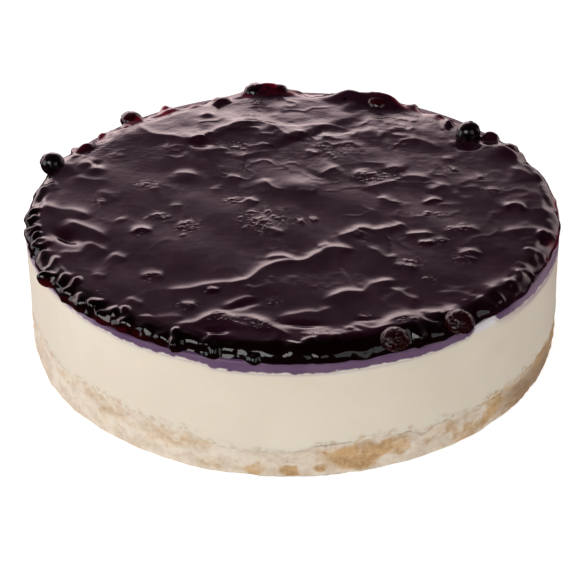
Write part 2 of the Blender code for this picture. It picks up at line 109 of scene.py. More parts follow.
# Folds in the topping: (height, width on the far side, width on the near side, path)
FOLDS = (
    (0.60, 1.8, 9.0, ((-50, -73), (-43, -72.5), (-38.5, -71), (-34, -69), (-28.5, -68), (-23, -68),
        (-18, -66))),
    (0.93, 2.0, 9.0, ((-27, -68.3), (-23, -68), (-18, -66), (-12, -58), (-8, -54.5), (-4, -53), (2, -52.5),
        (6, -51.5), (10, -47), (14, -44), (18.5, -43.5), (25, -45))),
    (0.37, 1.8, 5.0, ((-6, -53.5), (2, -52.5), (8, -50), (14, -44.5))),
    (0.88, 2.0, 7.0, ((18, -33.5), (22, -32.5), (25, -31), (27.5, -28.5), (30, -28.5), (33, -30),
        (36.5, -29.5), (40, -28), (44, -30))),
    (0.79, 1.9, 7.0, ((10, -82.5), (14, -79.5), (17, -77.5), (20, -76), (26.5, -76), (28.5, -73.5),
        (30.5, -70.5), (33.5, -69.5), (41, -67.5))),
    (1.07, 2.0, 3.4, ((-48, -97), (-42.5, -96.5), (-38.5, -96.5), (-36, -95.5), (-33, -92.5), (-30, -90.5),
        (-27, -90.5), (-24, -92.5), (-19, -92.5), (-14.5, -94), (-11.5, -96.5), (-8.5, -100), (-5, -103.5),
        (-1, -106))),
    (0.93, 2.1, 3.6, ((2, -103.5), (7, -105), (12.5, -105.5), (17.5, -105), (21.5, -104), (26, -103.5))),
    (0.93, 2.3, 4.0, ((73, -79.5), (78, -75.5), (81.5, -73.5), (84.5, -71.5), (88.5, -68), (92, -65),
        (96, -63))),
    (0.84, 2.3, 5.0, ((-110, -3), (-104, -7), (-99, -9), (-93.5, -10), (-89.5, -13), (-86.5, -17.5))),
    (0.93, 2.3, 5.5, ((-97, -17), (-92, -21.5), (-87.5, -24.5), (-83, -27.5), (-79.5, -31), (-75.5, -34))),
    (1.50, 30.0, 16.0, BACK_FOLD),
    (0.65, 3.0, 12.0, ((-5, 63.5), (0.5, 64), (6, 66), (13, 67), (19.5, 66), (26, 63))),
    (0.56, 3.0, 12.0, ((27, 62), (31.5, 59.5), (36, 60.5), (41, 62.5))),
    (0.80, 4.2, 3.5, ((10.5, 17), (15, 21), (18, 24), (22, 27))),
    (0.54, 3.0, 4.5, ((30, 5), (33.5, 8), (37, 9.5), (41.5, 11.5), (47, 13.5))),
    (0.54, 3.8, 5.0, ((40, 22.5), (43, 24), (47, 25), (51, 22))),
    (0.48, 2.4, 4.5, ((-12.5, 16.5), (-11, 12), (-9, 8.5), (-6, 6), (-1.5, 5))),
    (0.48, 3.0, 4.0, ((51, 50), (57, 51), (61.5, 49.5), (65, 46.5), (68.5, 41))),
    (0.48, 2.3, 4.5, ((97.5, 23), (101.5, 20.5), (104.5, 17), (107.5, 11.5))),
    (0.48, 3.8, 5.0, ((-42, 40.5), (-35.5, 42.5), (-28, 44))),
    (0.48, 3.0, 4.0, ((-26, 36), (-20.5, 37.5), (-15.5, 40.5), (-8, 42))),
)

# Smaller folds and wrinkles: the same four values
WRINKLES = (
    (0.56, 2.3, 5.0, BACK_FOLD),
    (0.56, 1.7, 2.5, ((-11.5, -49.5), (-8, -49), (-4, -48.8), (-1, -50.5), (2, -51.5))),
    (0.47, 1.6, 2.4, ((9.5, -42.5), (12.5, -41), (15.5, -40.5))),
    (0.33, 1.5, 4.0, ((-22, -71.5), (-17, -72.5), (-13, -72), (-8.5, -68.5))),
    (0.47, 1.6, 2.0, ((41.5, -28.5), (43.5, -26.5), (46.5, -24))),
    (0.42, 1.6, 3.0, ((25.5, -36), (27.5, -32.5), (29, -30.5))),
    (0.56, 1.4, 3.0, ((46, -33), (50, -32.7), (54.5, -32.8), (58, -33.5))),
    (0.42, 1.7, 3.0, ((29.5, -44), (33.5, -45.5), (36, -49.5), (38.5, -51.5), (42, -48.5))),
    (0.51, 1.7, 3.5, ((39, -59), (42.5, -57), (45.5, -58), (50, -60))),
    (0.56, 1.5, 7.0, ((38, -74), (41, -76.5), (43.5, -79.5), (46.5, -81), (49.5, -80.5))),
    (0.47, 2.0, 8.0, ((-7, -93.5), (-1.5, -91), (2, -90), (6, -89.5), (9, -90.3), (12, -88.5), (16, -86))),
    (0.70, 1.8, 2.6, ((-28, -87), (-24.5, -84), (-21.5, -81.5), (-18, -79.8), (-13.5, -79.5))),
    (0.56, 2.4, 4.0, ((-55, -92), (-49.5, -91), (-46, -91), (-41.5, -92.5))),
    (0.65, 1.7, 4.0, ((-62, -95.5), (-58.5, -96), (-55.5, -97.5), (-52, -100), (-47.5, -100.5),
        (-43, -100))),
    (0.74, 1.5, 2.2, ((-27.5, -92.5), (-21.5, -96.5), (-17, -99), (-12.5, -100.5), (-8, -103.5))),
    (0.56, 1.4, 1.8, ((-33.5, -96), (-30, -94), (-26, -95), (-22, -98.5), (-19.5, -101.5))),
    (0.56, 1.4, 1.8, ((-19, -96.5), (-16, -95), (-12.5, -96.5), (-9.5, -98.5))),
    (0.47, 1.6, 2.0, ((-42, -100), (-39.5, -102.5), (-36, -105))),
    (0.65, 1.5, 3.0, ((19.5, -99.5), (23, -99), (26, -101), (29.5, -102), (35, -101.5), (40, -102.5))),
    (0.74, 1.7, 2.6, ((33, -99.5), (37, -96.5), (40, -95), (44, -94), (47.5, -94.5), (50, -97.5),
        (51.5, -102.5))),
    (0.47, 1.6, 2.0, ((39.5, -101), (42.5, -100), (47, -98.5))),
    (0.56, 1.4, 2.4, ((46.5, -90), (50, -90.5), (53, -91.5), (57, -92))),
    (0.42, 1.5, 5.0, ((54, -77), (58.5, -77), (63, -77), (65.5, -78), (68, -80), (71, -80.5),
        (74.5, -78.5))),
    (0.56, 1.4, 1.8, ((87.5, -64.5), (90.5, -61.5), (94, -61.5))),
    (0.74, 1.7, 2.2, ((100.5, -33), (104.5, -31.5), (108, -32))),
    (0.47, 2.3, 6.0, ((87, -33), (93, -30.5), (98, -29.5), (104, -30.5))),
    (0.28, 1.4, 4.0, ((100, -14), (105.5, -13.5), (110, -13.5))),
    (0.70, 1.7, 4.0, ((-87, -36), (-82, -39), (-78.5, -42), (-75, -44))),
    (0.56, 1.5, 3.5, ((-74.5, -45), (-71, -47), (-67, -50.5))),
    (0.37, 1.4, 3.0, ((-96, -43), (-90.5, -43.5), (-85, -44))),
    (0.24, 1.8, 5.0, ((-86, 7), (-80.5, 4), (-75, -2))),
    (0.37, 2.0, 3.5, ((-98, 21.5), (-94, 18.5), (-88.5, 16), (-84, 16), (-80.5, 14.5))),
    (0.27, 1.8, 3.0, ((-102, 33), (-99, 27), (-95.5, 20.5))),
    (0.37, 1.7, 2.4, ((-96, 30.5), (-94, 34.5), (-91, 36.5), (-88.5, 32))),
    (0.67, 2.3, 3.0, ((12, 56.5), (17, 55), (21, 53.5), (25, 53))),
    (0.67, 2.0, 3.0, ((2.5, 51), (4, 55.5), (6, 60.5))),
    (0.32, 1.8, 3.5, ((-29, 18.3), (-25, 17.3), (-21, 16.3))),
    (0.37, 2.0, 4.0, ((1, 3.5), (6, 3.5), (11, 2.3))),
    (0.47, 1.4, 2.6, ((-20, -0.5), (-17.5, -3), (-14.5, -5.3))),
    (0.56, 1.7, 3.0, ((36.5, -1.8), (40, -3), (42.5, -5.5), (47, -7))),
    (0.48, 2.7, 3.5, ((48, 16), (54, 16.5), (57.5, 15.5), (61.5, 12.5))),
    (0.43, 2.7, 5.0, ((59, 1.5), (64, 6), (69, 9))),
    (0.22, 1.4, 2.0, ((68, 33), (73.5, 32.5))),
    (0.32, 1.8, 2.4, ((5.5, 41), (9.5, 40), (12, 37))),
    (0.32, 2.3, 4.0, ((-99, 41.5), (-92, 37.5))),
    (0.28, 1.6, 2.0, ((-74, -17), (-71, -19.5))),
    (0.28, 1.4, 2.0, ((-60.5, -16.5), (-57.5, -14), (-53, -17.5))),
    (0.28, 1.4, 2.0, ((-49.5, -22.5), (-45.5, -22), (-41, -21))),
    (0.33, 1.6, 2.0, ((-18, -17.5), (-13, -20), (-7, -23))),
    (0.33, 1.6, 2.0, ((-13, -26), (-7, -28.5), (-3.5, -32))),
    (0.37, 1.4, 2.4, ((61, -32), (67.5, -29.5), (74, -29), (77.5, -33))),
    (0.42, 1.4, 2.4, ((-80.5, -61.5), (-78, -61), (-74.5, -63))),
    (0.56, 1.4, 2.6, ((-64.5, -77), (-61.5, -80), (-57, -83.5))),
    (0.22, 1.4, 2.6, ((-63, 7.5), (-58, 9.5))),
    (0.24, 1.5, 2.6, ((-53.5, 21), (-50, 22), (-45.5, 21), (-41.5, 19))),
    (0.28, 1.5, 3.0, ((-52.5, -6.5), (-46.5, -6.5))),
    (0.16, 1.4, 3.0, ((-36, 8), (-30.5, 8))),
)

# Short creases with a steep dark near side, where fruit lies under the glaze: the same values
CREASES = (
    (0.84, 1.6, 1.3, ((-67.5, -28.5), (-64, -26.5), (-60, -29.5))),
    (0.84, 1.9, 1.4, ((-60.5, -64), (-56.5, -61.5), (-51.5, -64))),
    (0.80, 1.3, 1.3, ((-34.5, -74.5), (-32, -73), (-29.5, -74.5))),
    (0.88, 1.4, 1.3, ((-44, -83.5), (-42, -82.5), (-38.5, -85))),
    (0.24, 1.2, 1.0, ((-85, -3), (-83, -2.5), (-81, -3.5))),
    (0.92, 2.0, 1.4, ((89.5, -13.5), (94.5, -11), (99.5, -14))),
    (0.80, 1.4, 1.2, ((51.5, -40.5), (55, -39.5), (58, -42))),
    (0.24, 1.4, 1.6, ((58, -38), (61, -38), (64, -39.5))),
    (0.72, 2.2, 2.0, ((66, -49.5), (69.5, -48), (72.5, -47.5), (76, -49))),
    (0.56, 1.4, 1.2, ((65, -53), (69, -52), (74, -53.5))),
    (0.76, 1.5, 1.3, ((56.5, -7), (61, -4.5), (64.5, -6.5))),
    (0.40, 1.3, 1.1, ((71.5, 21.5), (74.5, 23))),
    (1.20, 2.6, 1.8, ((-47, 50.5), (-43.5, 53.5), (-38.5, 52))),
    (0.32, 1.4, 1.2, ((82, 14.5), (85, 15.5))),
    (0.32, 1.4, 1.2, ((85, 3), (89.5, 3.5))),
    (0.32, 1.2, 1.0, ((2, -21.5), (5, -20))),
    (0.28, 1.2, 1.0, ((7.5, -20), (10.5, -19.5))),
    (0.24, 1.2, 1.0, ((-10, -82), (-7.5, -82))),
    (0.24, 1.2, 1.0, ((50, -67.5), (53, -67.5))),
    (0.28, 1.6, 1.3, ((23, -93.5), (29.5, -93.5))),
    (0.40, 2.0, 1.6, ((49.5, -92.5), (56.5, -93.5))),
    (0.32, 1.4, 1.4, ((-80.5, -75), (-77.5, -74.5))),
)


# Soft swellings of the topping, and the glaze drawn up round the berries: (x, y, radius, height)
BUMPS = (
    (-47, 20, 6.0, 0.7), (-88, 26, 4.5, 0.9), (-40, 78, 3.4, 0.9), (44, -98, 8.0, 1.2),
    (30, 88, 6.0, 1.4), (-92, 31, 4.0, 0.9), (31, 18, 5.0, 0.7), (3, 8, 9.0, 0.7),
    (99, 40, 8.5, 3.0), (-76, 77.5, 7.0, 5.0),
    (-106, 31, 8.0, 1.6), (60.5, -93, 7.0, 1.6), (36.5, -102.5, 7.5, 1.6),
)
BUMP_STEEPNESS = 1.6

# Hollows in the topping: (x, y, length, width, angle of the length, depth)
HOLLOWS = (
    (-94, -31, 13, 6.0, -40, 2.4), (3, -97.5, 14, 3.5, -5, 1.0), (-20, -84, 12, 4.0, 25, 0.8),
    (-29, -100.5, 8, 3.0, 0, 1.2), (53, -95, 7, 2.5, 0, 0.8), (81, 44, 7, 4.0, 0, 3.0),
    (27, -95, 7, 2.0, 0, 0.5), (-42, 47.5, 9, 5.0, 0, 0.9), (-88, 31, 6, 4.0, -60, 0.6),
)

# Longish mounds over the berries at the back: (x, y, length, width, angle of the length, height)
MOUNDS = (
    (-12, 106.5, 23, 9.5, 0, 5.8), (28.5, 97, 17, 9.5, -18, 4.6), (44, 91.5, 19, 10.0, -26, 5.2),
)

# How round a fold's crest is, over what length its width turns from the near to the far side's,
# over what length it fades at its ends, from what share and to what share of its width, how
# uneven its height is and over what length
CREST_ROUND = 0.5
FOLD_TURN = 1.2
FOLD_FADE = 8.0
FOLD_END_SHARE = 0.15
FOLD_END_WIDTH = 0.55
FOLD_UNEVEN = 0.5
FOLD_UNEVEN_LENGTH = 9.0
# How far a fold's line strays and over what length, and how much further a crease's does
WARP = 0.5
WARP_LENGTH = 8.0
CREASE_WARP = 0.8
CREASE_WARP_LENGTH = 3.6

# The slow waves of the whole topping: the two heights, their share at the front and how much
# is added to it at the back
CROSS_WAVE = 0.55
SLANT_WAVE = 0.35
WAVE_STRENGTH = 0.35
BACK_WAVE_MORE = 0.35
# How far the top droops towards the back edge
BACK_DROOP = 1.2

# Soft ripples all over the top, and a web of fine creases: their heights and sizes, the share
# of the web's size that a crease takes up, and how strong both are at the front, and how much
# is added to that at the back and at the right
RIPPLE_HEIGHT = 0.10
RIPPLE_SIZE = 10.0
WEB_HEIGHT = 0.34
WEB_SIZE = 13.0
WEB_SHARE = 0.24
FRONT_RIPPLES = 0.25
BACK_RIPPLES_MORE = 0.75
RIGHT_RIPPLES_MORE = 0.20
# By what share the folds lie lower at the left, from which X and over what length
LEFT_SOFTER = 0.25
LEFT_FROM = -35.0
LEFT_OVER = 30.0

# Clusters of tiny bubbles and seeds in the glaze: (x, y, spread along X, along Y, how many)
CLUSTERS = (
    (-12, -20, 8, 9, 46), (-44, -24, 5, 5, 16), (-57, -16, 5, 3, 14), (-26, -3, 5, 3, 14),
    (70, -29, 5, 3, 18), (38, 16, 9, 5, 26), (-25, 46, 4, 4, 10), (-16, 92, 3, 3, 8),
    (58, -17, 7, 3, 10), (-20, 78, 5, 3, 8), (-64, 12, 5, 3, 10), (20, 42, 14, 8, 14),
    (0, -72, 20, 6, 8), (46, -56, 5, 4, 10), (-74, 72, 5, 4, 10), (-26, -94, 9, 3, 20),
    (-12, -98, 7, 3, 14), (12, -104, 8, 2.5, 12), (44, -97, 6, 3, 10),
)
SPECK_RADIUS = (0.6, 1.2)
SPECK_HEIGHT = (0.06, 0.24)
SPECK_DENSE = 0.6
# How far the specks spread round a crease along X and Y, and how strong they are there
CREASE_SPECKS = (4.5, 3.0)
CREASE_SPECKLED = 0.6

# Lumps of fruit under the glaze along the edge: (angle, distance from the axis, height, radius)
EDGE_LUMPS = (
    (184.0, 110.6, 55.0, 3.4), (188.0, 110.8, 55.3, 3.6), (192.0, 110.4, 55.0, 3.4),
    (195.5, 109.8, 55.4, 3.2), (199.3, 109.8, 55.4, 4.8), (203.6, 110.0, 54.8, 3.8),
    (206.6, 109.6, 54.6, 3.6), (210.2, 113.2, 54.4, 4.0), (214.4, 110.2, 54.6, 3.8),
    (218.2, 109.8, 54.4, 4.2), (222.2, 110.4, 54.2, 4.0), (226.0, 110.2, 54.6, 4.2),
    (230.0, 110.5, 54.0, 4.2), (234.0, 110.0, 54.4, 4.4), (238.4, 110.4, 53.8, 4.2),
    (243.4, 109.2, 53.6, 5.2), (247.6, 109.2, 53.4, 5.4), (253.6, 110.2, 53.0, 4.8),
    (258.4, 111.8, 53.0, 3.4), (261.8, 112.0, 53.0, 3.4), (266.0, 108.8, 53.0, 5.4),
    (270.3, 111.4, 53.4, 4.4), (273.6, 108.8, 53.8, 4.8), (278.0, 108.4, 52.6, 5.4),
    (283.0, 108.4, 52.6, 5.4), (294.8, 110.0, 53.4, 4.4), (298.4, 108.4, 53.0, 4.6),
    (308.6, 108.4, 53.4, 3.6), (312.0, 108.6, 53.6, 3.2), (315.6, 108.6, 54.0, 3.4),
    (320.4, 108.8, 53.8, 3.8), (327.0, 109.2, 54.2, 4.0), (333.4, 109.4, 53.8, 3.6),
    (342.2, 108.6, 54.4, 5.0), (29.2, 103.8, 56.4, 3.8), (42.6, 101.4, 56.2, 4.2),
    (110.2, 101.8, 53.8, 6.0), (122.5, 103.0, 52.6, 4.8), (152.0, 105.0, 55.0, 5.0),
)
# Fainter lumps along the rest of the edge, drawn by a seeded rule
BACK_LUMPS_FROM = 38.0
BACK_LUMPS_TO = 178.0
BACK_LUMP_PITCH = 10.5
BACK_LUMP_RADIUS = (4.4, 6.0)
BACK_LUMP_OUT = (104.0, 107.0)
BACK_LUMP_LEVEL = (51.8, 53.0)
# How softly the glaze joins the lumps and fades at their rims, and how far the lumps' outlines
# stray and over what length
LUMP_SOFTNESS = 0.9
LUMP_BLEND = 0.65
LUMP_STRAY = 2.8
LUMP_STRAY_LENGTH = 5.0
SEED = 23

# Whole berries in the topping: (node, x, y, z, radius, height as a share, tilt, turn)
BERRIES = (
    ("berry_whole_right", 82.4, 55.4, 59.5, 5.7, 0.97, 35, 20),
    ("berry_left_edge", -107.8, 31.6, 59.2, 5.5, 0.94, 70, 160),
    ("berry_back_left", -17.2, 106.2, 57.9, 5.6, 0.70, 60, 100),
    ("berry_back_right", -5.9, 105.2, 57.8, 5.1, 0.76, 80, 60),
    ("berry_back_dark", 28.3, 96.5, 57.5, 5.6, 0.65, 50, 90),
    ("berry_back_red", 43.0, 90.6, 58.0, 6.3, 0.66, 65, 70),
    ("berry_right_red", 99.0, 40.4, 57.5, 4.9, 0.75, 80, 10),
    ("berry_left_peak", -76.4, 77.6, 57.6, 5.3, 0.70, 60, 130),
    ("berry_front_right", 62.0, -96.4, 58.3, 5.8, 0.74, 100, 305),
    ("berry_front_brown", 37.0, -107.0, 58.2, 5.6, 0.74, 95, 290),
)
# A berry's crown: where its ring of five lobes lies and how wide it is, in radians from its
# top, how far the lobes reach, and its height and the pit inside it as shares of the radius
CROWN_RING = 0.40
CROWN_WIDTH = 0.09
CROWN_LOBES = 0.07
CROWN_HEIGHT = 0.075
PIT_DEPTH = 0.17
# How dented a berry is, broad and fine, and how deep a dull one's creases are
BERRY_DENTS = 0.030
BERRY_FINE_DENTS = 0.010
DULL_CREASES = 0.10
DULL_BERRIES = ("berry_front_right", "berry_front_brown")
RED_BERRIES = ("berry_back_right", "berry_back_red", "berry_right_red", "berry_left_peak")

# How far the wet edge swells and sinks between its lumps, and over what length: broad, then fine
WET_SWELL = 1.15
WET_SWELL_LENGTH = (10.0, 10.0, 5.5)
WET_FINE = 0.16
WET_FINE_LENGTH = 3.0

# Where the glaze is thin enough to show red: from this height down, and over how much
THIN_FROM = 57.6
THIN_OVER = 3.2
# How red the thin edge is, as (angle, strength) stations: the thin glaze's own red and painted backlight
# glow
RED_EDGE_AND_BACKLIT_GLOW = ((0, 1.0), (14, 0.8), (22, 0.1), (34, 0.05), (46, 0.7), (58, 1.0), (64, 0.5), (72, 0.1),
            (86, 0.4), (92, 1.0), (98, 0.4), (106, 0.4), (118, 0.8), (130, 0.7), (140, 0.3),
            (152, 0.4), (162, 0.5), (170, 0.05), (186, 0.04), (200, 0.05), (206, 0.06), (210, 0.14),
            (214, 0.04), (226, 0.05), (233, 0.10), (242, 0.02), (250, 0.0), (330, 0.0), (340, 0.4),
            (350, 1.0))

# The crumb base: its top edge as (angle, height) stations
BASE_INNER_TOP = 14.0
BASE_EDGE = ((0, 15), (30, 13), (60, 16), (95, 14), (130, 17), (165, 15), (190, 18), (205, 19),
             (228, 19), (246, 18), (257, 12.5), (268, 12), (275, 15), (284, 16), (292, 15),
             (295, 11.5), (299, 14.5), (312, 14), (324, 15), (342, 13.5))
# The band of the side that crumbs are scattered over, and their radii as shares of their spacing
CRUMBS_FROM = -2.0
CRUMBS_TO = 22.0
CRUMB_RADIUS = 0.7
CRUMB_RADIUS_RANGE = (0.5, 1.15)
# Coarse and fine crumbs, and those caught in the cream's foot: (spacing, seed)
COARSE_CRUMBS = (1.9, 5)
FINE_CRUMBS = (1.1, 6)
CAUGHT_CRUMBS = (1.6, 8)
# The faint waves of the side: their height and length
SIDE_WAVE = 0.35
SIDE_WAVE_LENGTH = (24.0, 24.0, 16.0)
# Golden crumb showing on the side: (angle, height, half width in degrees, half height, strength)
GOLDEN_PATCHES = (
    (282, 8.5, 7.5, 6.5, 1.0), (290, 10, 4.0, 4.5, 0.8), (269, 3, 2.4, 3.2, 0.9),
    (262, 3, 2.0, 2.6, 0.6), (274.5, 4, 1.2, 1.8, 0.9), (254, 4, 3.2, 3.0, 0.45),
    (244, 12, 5.0, 5.0, 0.35), (233, 11, 5.0, 5.0, 0.2), (299, 10, 4.0, 4.0, 0.5),
    (306, 4, 5.0, 5.0, 0.7), (313, 8, 3.4, 7.0, 0.85), (322, 4, 6.0, 5.0, 0.85),
    (333, 7, 6.0, 7.0, 1.0), (345, 7, 8.0, 7.0, 1.0), (322, 10, 20.0, 6.0, 0.5),
    (205, 15, 18.0, 3.6, 0.28), (228, 14.5, 14.0, 3.6, 0.32), (246, 13, 8.0, 3.4, 0.34),
)
# Golden or not, these places are smeared pale with cream: the same values without the strength
PALE_PATCHES = (
    (272, 6, 1.4, 7.0), (294, 8, 1.4, 6.0), (260, 9.5, 5.0, 3.4), (308, 10.5, 2.6, 2.4),
    (290, 3, 5.0, 2.4), (298, 4, 4.0, 2.2), (267, 9, 4.0, 3.0),
)

# The stained band's lower edge on the side, as (angle, height) stations
BAND_INNER_FOOT = 49.5
BAND_EDGE = ((0, 49), (40, 50), (80, 49.3), (120, 50), (160, 50.2), (200, 51.2), (228, 51),
             (240, 50.3), (252, 50.2), (255, 48.6), (275, 48.2), (300, 48.6), (305, 49.2),
             (307.5, 52.4), (311.5, 52.4), (314, 49.2), (325, 48.4), (345, 48.2))
CREAM_EDGE_ROUND = 1.4
# The pale gap in the stained band, unstained cream made whiter by a painted reflection: its middle, half
# width and fading, in degrees, and its foot
GAP_MIDDLE = 309.5
GAP_HALF_WIDTH = 2.2
GAP_FADE = 1.2
GAP_FOOT = 49.2
GAP_AND_SHEEN_COLOUR = (0.82, 0.77, 0.79)
# Where the cream under the band is tinged by it: its middle and half width, in degrees, its
# foot, and over what height it sets in
ROSY_MIDDLE = 333.0
ROSY_HALF_WIDTH = 18.0
ROSY_FOOT = 45.0
ROSY_FADE = 2.6
# The painted shade on the base's foot at the right, where less light falls: its middle and half width in
# degrees, and its height
PAINTED_SHADE_MIDDLE = 329.0
PAINTED_SHADE_HALF_WIDTH = 12.0
PAINTED_SHADE_HEIGHT = 12.0
# Where the edge is satin instead of wet: its middle and half width in degrees
SATIN_MIDDLE = 345.0
SATIN_HALF_WIDTH = 34.0


def smooth_step(value):
    share = np.clip(value, 0.0, 1.0)
    return share * share * (3.0 - 2.0 * share)


def round_the_cake(stations, angles):
    """Reads a closed row of (angle, value) stations smoothly at the given angles."""
    at = np.array([station[0] for station in stations], dtype=float)
    values = np.array([station[1] for station in stations], dtype=float)
    at = np.concatenate((at[-1:] - 360.0, at, at[:1] + 360.0))
    values = np.concatenate((values[-1:], values, values[:1]))
    angles = np.mod(angles, 360.0)
    after = np.clip(np.searchsorted(at, angles, side="right"), 1, len(at) - 1)
    before = after - 1
    share = (angles - at[before]) / (at[after] - at[before])
    return values[before] + (values[after] - values[before]) * smooth_step(share)


def turned_distance(angles, middle):
    """Degrees from a middle angle, the short way round."""
    return np.mod(angles - middle + 180.0, 360.0) - 180.0


LATTICE_SIZE = 64
LATTICE_SEED = 71
LATTICE = np.random.default_rng(LATTICE_SEED).uniform(-1.0, 1.0, (LATTICE_SIZE,) * 3)


def noise_at(points, scale, shift=0.0):
    """Smooth noise from -1 to 1 at places in space. scale may differ along X, Y and Z."""
    grid = points / np.asarray(scale, dtype=float) + shift
    cell = np.floor(grid).astype(int)
    part = grid - cell
    part = part * part * (3.0 - 2.0 * part)
    total = np.zeros(len(points))
    for corner in range(8):
        step = np.array((corner & 1, corner >> 1 & 1, corner >> 2 & 1))
        weight = np.prod(np.where(step, part, 1.0 - part), axis=1)
        index = np.mod(cell + step, LATTICE_SIZE)
        total += weight * LATTICE[index[:, 0], index[:, 1], index[:, 2]]
    return total


def rough_noise(points, scale, layers, shift=0.0):
    """Layers of noise, each half the size and half the strength of the one before."""
    total = np.zeros(len(points))
    scale = np.asarray(scale, dtype=float)
    for layer in range(layers):
        total += noise_at(points, scale / 2 ** layer, shift + 11.0 * layer) / 2 ** layer
    return total


def lathe(name, profile, sides):
    """Turns a profile of (radius, height), outer side from top to bottom, into a mesh object."""
    mesh = bpy.data.meshes.new(name + "_profile")
    points = [(radius * MM, 0.0, height * MM) for radius, height in profile]
    mesh.from_pydata(points, [(index, index + 1) for index in range(len(points) - 1)], [])
    turned = bpy.data.objects.new(name, mesh)
    bpy.context.scene.collection.objects.link(turned)
    screw = turned.modifiers.new("turn", "SCREW")
    screw.axis = "Z"
    screw.steps = sides
    screw.render_steps = sides
    screw.use_merge_vertices = True
    screw.merge_threshold = 0.000001
    screw.use_smooth_shade = True
    bpy.context.view_layer.update()
    solid = bpy.data.meshes.new_from_object(turned.evaluated_get(bpy.context.evaluated_depsgraph_get()))
    solid.name = name
    turned.modifiers.clear()
    turned.data = solid
    bpy.data.meshes.remove(mesh)
    return turned


def read_points(mesh):
    points = np.empty(len(mesh.vertices) * 3)
    mesh.vertices.foreach_get("co", points)
    return points.reshape(-1, 3) / MM


def write_points(mesh, points):
    mesh.vertices.foreach_set("co", (points * MM).ravel())
    mesh.update()


def paint(mesh, name, values):
    """Keeps one number for each vertex, which the material reads."""
    layer = mesh.attributes.new(name, "FLOAT", "POINT")
    layer.data.foreach_set("value", np.asarray(values, dtype=np.float32))


def smooth_path(points, pieces=5):
    """A Catmull-Rom curve through given points."""
    rows = np.array([points[0]] + list(points) + [points[-1]], dtype=float)
    curve = []
    for index in range(1, len(rows) - 2):
        before, start, end, after = rows[index - 1:index + 3]
        for step in range(pieces):
            share = step / pieces
            curve.append(0.5 * (2.0 * start + (end - before) * share
                                + (2.0 * before - 5.0 * start + 4.0 * end - after) * share ** 2
                                + (3.0 * start - before - 3.0 * end + after) * share ** 3))
    curve.append(rows[-1])
    return np.array(curve)


def near(places, low, high, reach):
    """Which places lie in a box, let out by a reach."""
    inside = (places > np.asarray(low) - reach) & (places < np.asarray(high) + reach)
    return np.nonzero(inside.all(axis=1))[0]


def on_level(places):
    """Places on the topping as points in space, all at one height."""
    return np.column_stack((places, np.zeros(len(places))))


def crest(distance, width):
    """A ridge that falls away fast from a narrow round crest, then ever more gently."""
    return np.exp(-(np.hypot(distance, CREST_ROUND) - CREST_ROUND) / width)


def add_fold(rise, places, fold):
    """Adds one fold, gentler on one side than on the other, uneven along its length."""
    height, far_width, near_width, points = fold
    path = smooth_path(points)
    steps = np.hypot(*np.diff(path, axis=0).T)
    reached = np.concatenate(((0.0,), np.cumsum(steps)))
    chosen = near(places, path.min(axis=0), path.max(axis=0), 5.0 * max(far_width, near_width))
    spots = places[chosen]
    best = np.full(len(spots), 1e9)
    along = np.zeros(len(spots))
    beyond = np.zeros(len(spots))
    for index in range(len(path) - 1):
        start, run = path[index], path[index + 1] - path[index]
        share = np.clip(((spots - start) @ run) / max(run @ run, 1e-9), 0.0, 1.0)
        offset = spots - (start + share[:, None] * run)
        distance = np.hypot(offset[:, 0], offset[:, 1])
        closer = distance < best
        best = np.where(closer, distance, best)
        along = np.where(closer, reached[index] + share * steps[index], along)
        beyond = np.where(closer, offset[:, 1], beyond)
    fade = min(FOLD_FADE, 0.35 * reached[-1])
    ends = smooth_step(np.minimum(along, reached[-1] - along) / fade + FOLD_END_SHARE)
    uneven = 1.0 + FOLD_UNEVEN * noise_at(on_level(spots), FOLD_UNEVEN_LENGTH, height)
    width = near_width + (far_width - near_width) * smooth_step(beyond / FOLD_TURN + 0.5)
    width *= FOLD_END_WIDTH + (1.0 - FOLD_END_WIDTH) * ends
    rise[chosen] += height * ends * uneven * crest(best, width)


def warped(places, reach, length):
    """Places moved aside a little, so that the lines drawn at them are not quite smooth."""
    points = on_level(places)
    aside = np.column_stack((noise_at(points, length, 20.0), noise_at(points, length, 33.0)))
    return places + reach * aside


def add_bump(rise, places, bump):
    x, y, radius, height = bump
    chosen = near(places, (x, y), (x, y), 3.0 * radius)
    distance = np.hypot(places[chosen, 0] - x, places[chosen, 1] - y)
    rise[chosen] += height * np.exp(-(distance / radius) ** 2 * BUMP_STEEPNESS)


def add_hollow(rise, places, hollow):
    x, y, length, width, turn, depth = hollow
    chosen = near(places, (x, y), (x, y), 1.5 * length)
    across = np.array((math.cos(math.radians(turn)), math.sin(math.radians(turn))))
    offset = places[chosen] - (x, y)
    share = (offset @ across / (length * 0.5)) ** 2
    share += (offset @ np.array((-across[1], across[0])) / (width * 0.5)) ** 2
    rise[chosen] -= depth * np.exp(-share)


def add_clusters(rise, places):
    rng = np.random.default_rng(SEED + 1)
    for x, y, spread_x, spread_y, count in CLUSTERS:
        for _ in range(count):
            middle = rng.normal((x, y), (spread_x * 0.5, spread_y * 0.5))
            radius = rng.uniform(*SPECK_RADIUS)
            height = rng.uniform(*SPECK_HEIGHT)
            add_bump(rise, places, (middle[0], middle[1], radius, height))


def waves(places):
    """The slow rise and fall of the whole topping, stronger towards the back."""
    x, y = places[:, 0], places[:, 1]
    swell = CROSS_WAVE * np.sin(x / 15.0 + 1.1) * np.cos(y / 18.0 - 0.6)
    swell += SLANT_WAVE * np.sin((x + 1.7 * y) / 11.0)
    swell *= WAVE_STRENGTH + BACK_WAVE_MORE * smooth_step((y - 30.0) / 60.0)
    return swell - BACK_DROOP * smooth_step((y - 52.0) / 55.0)


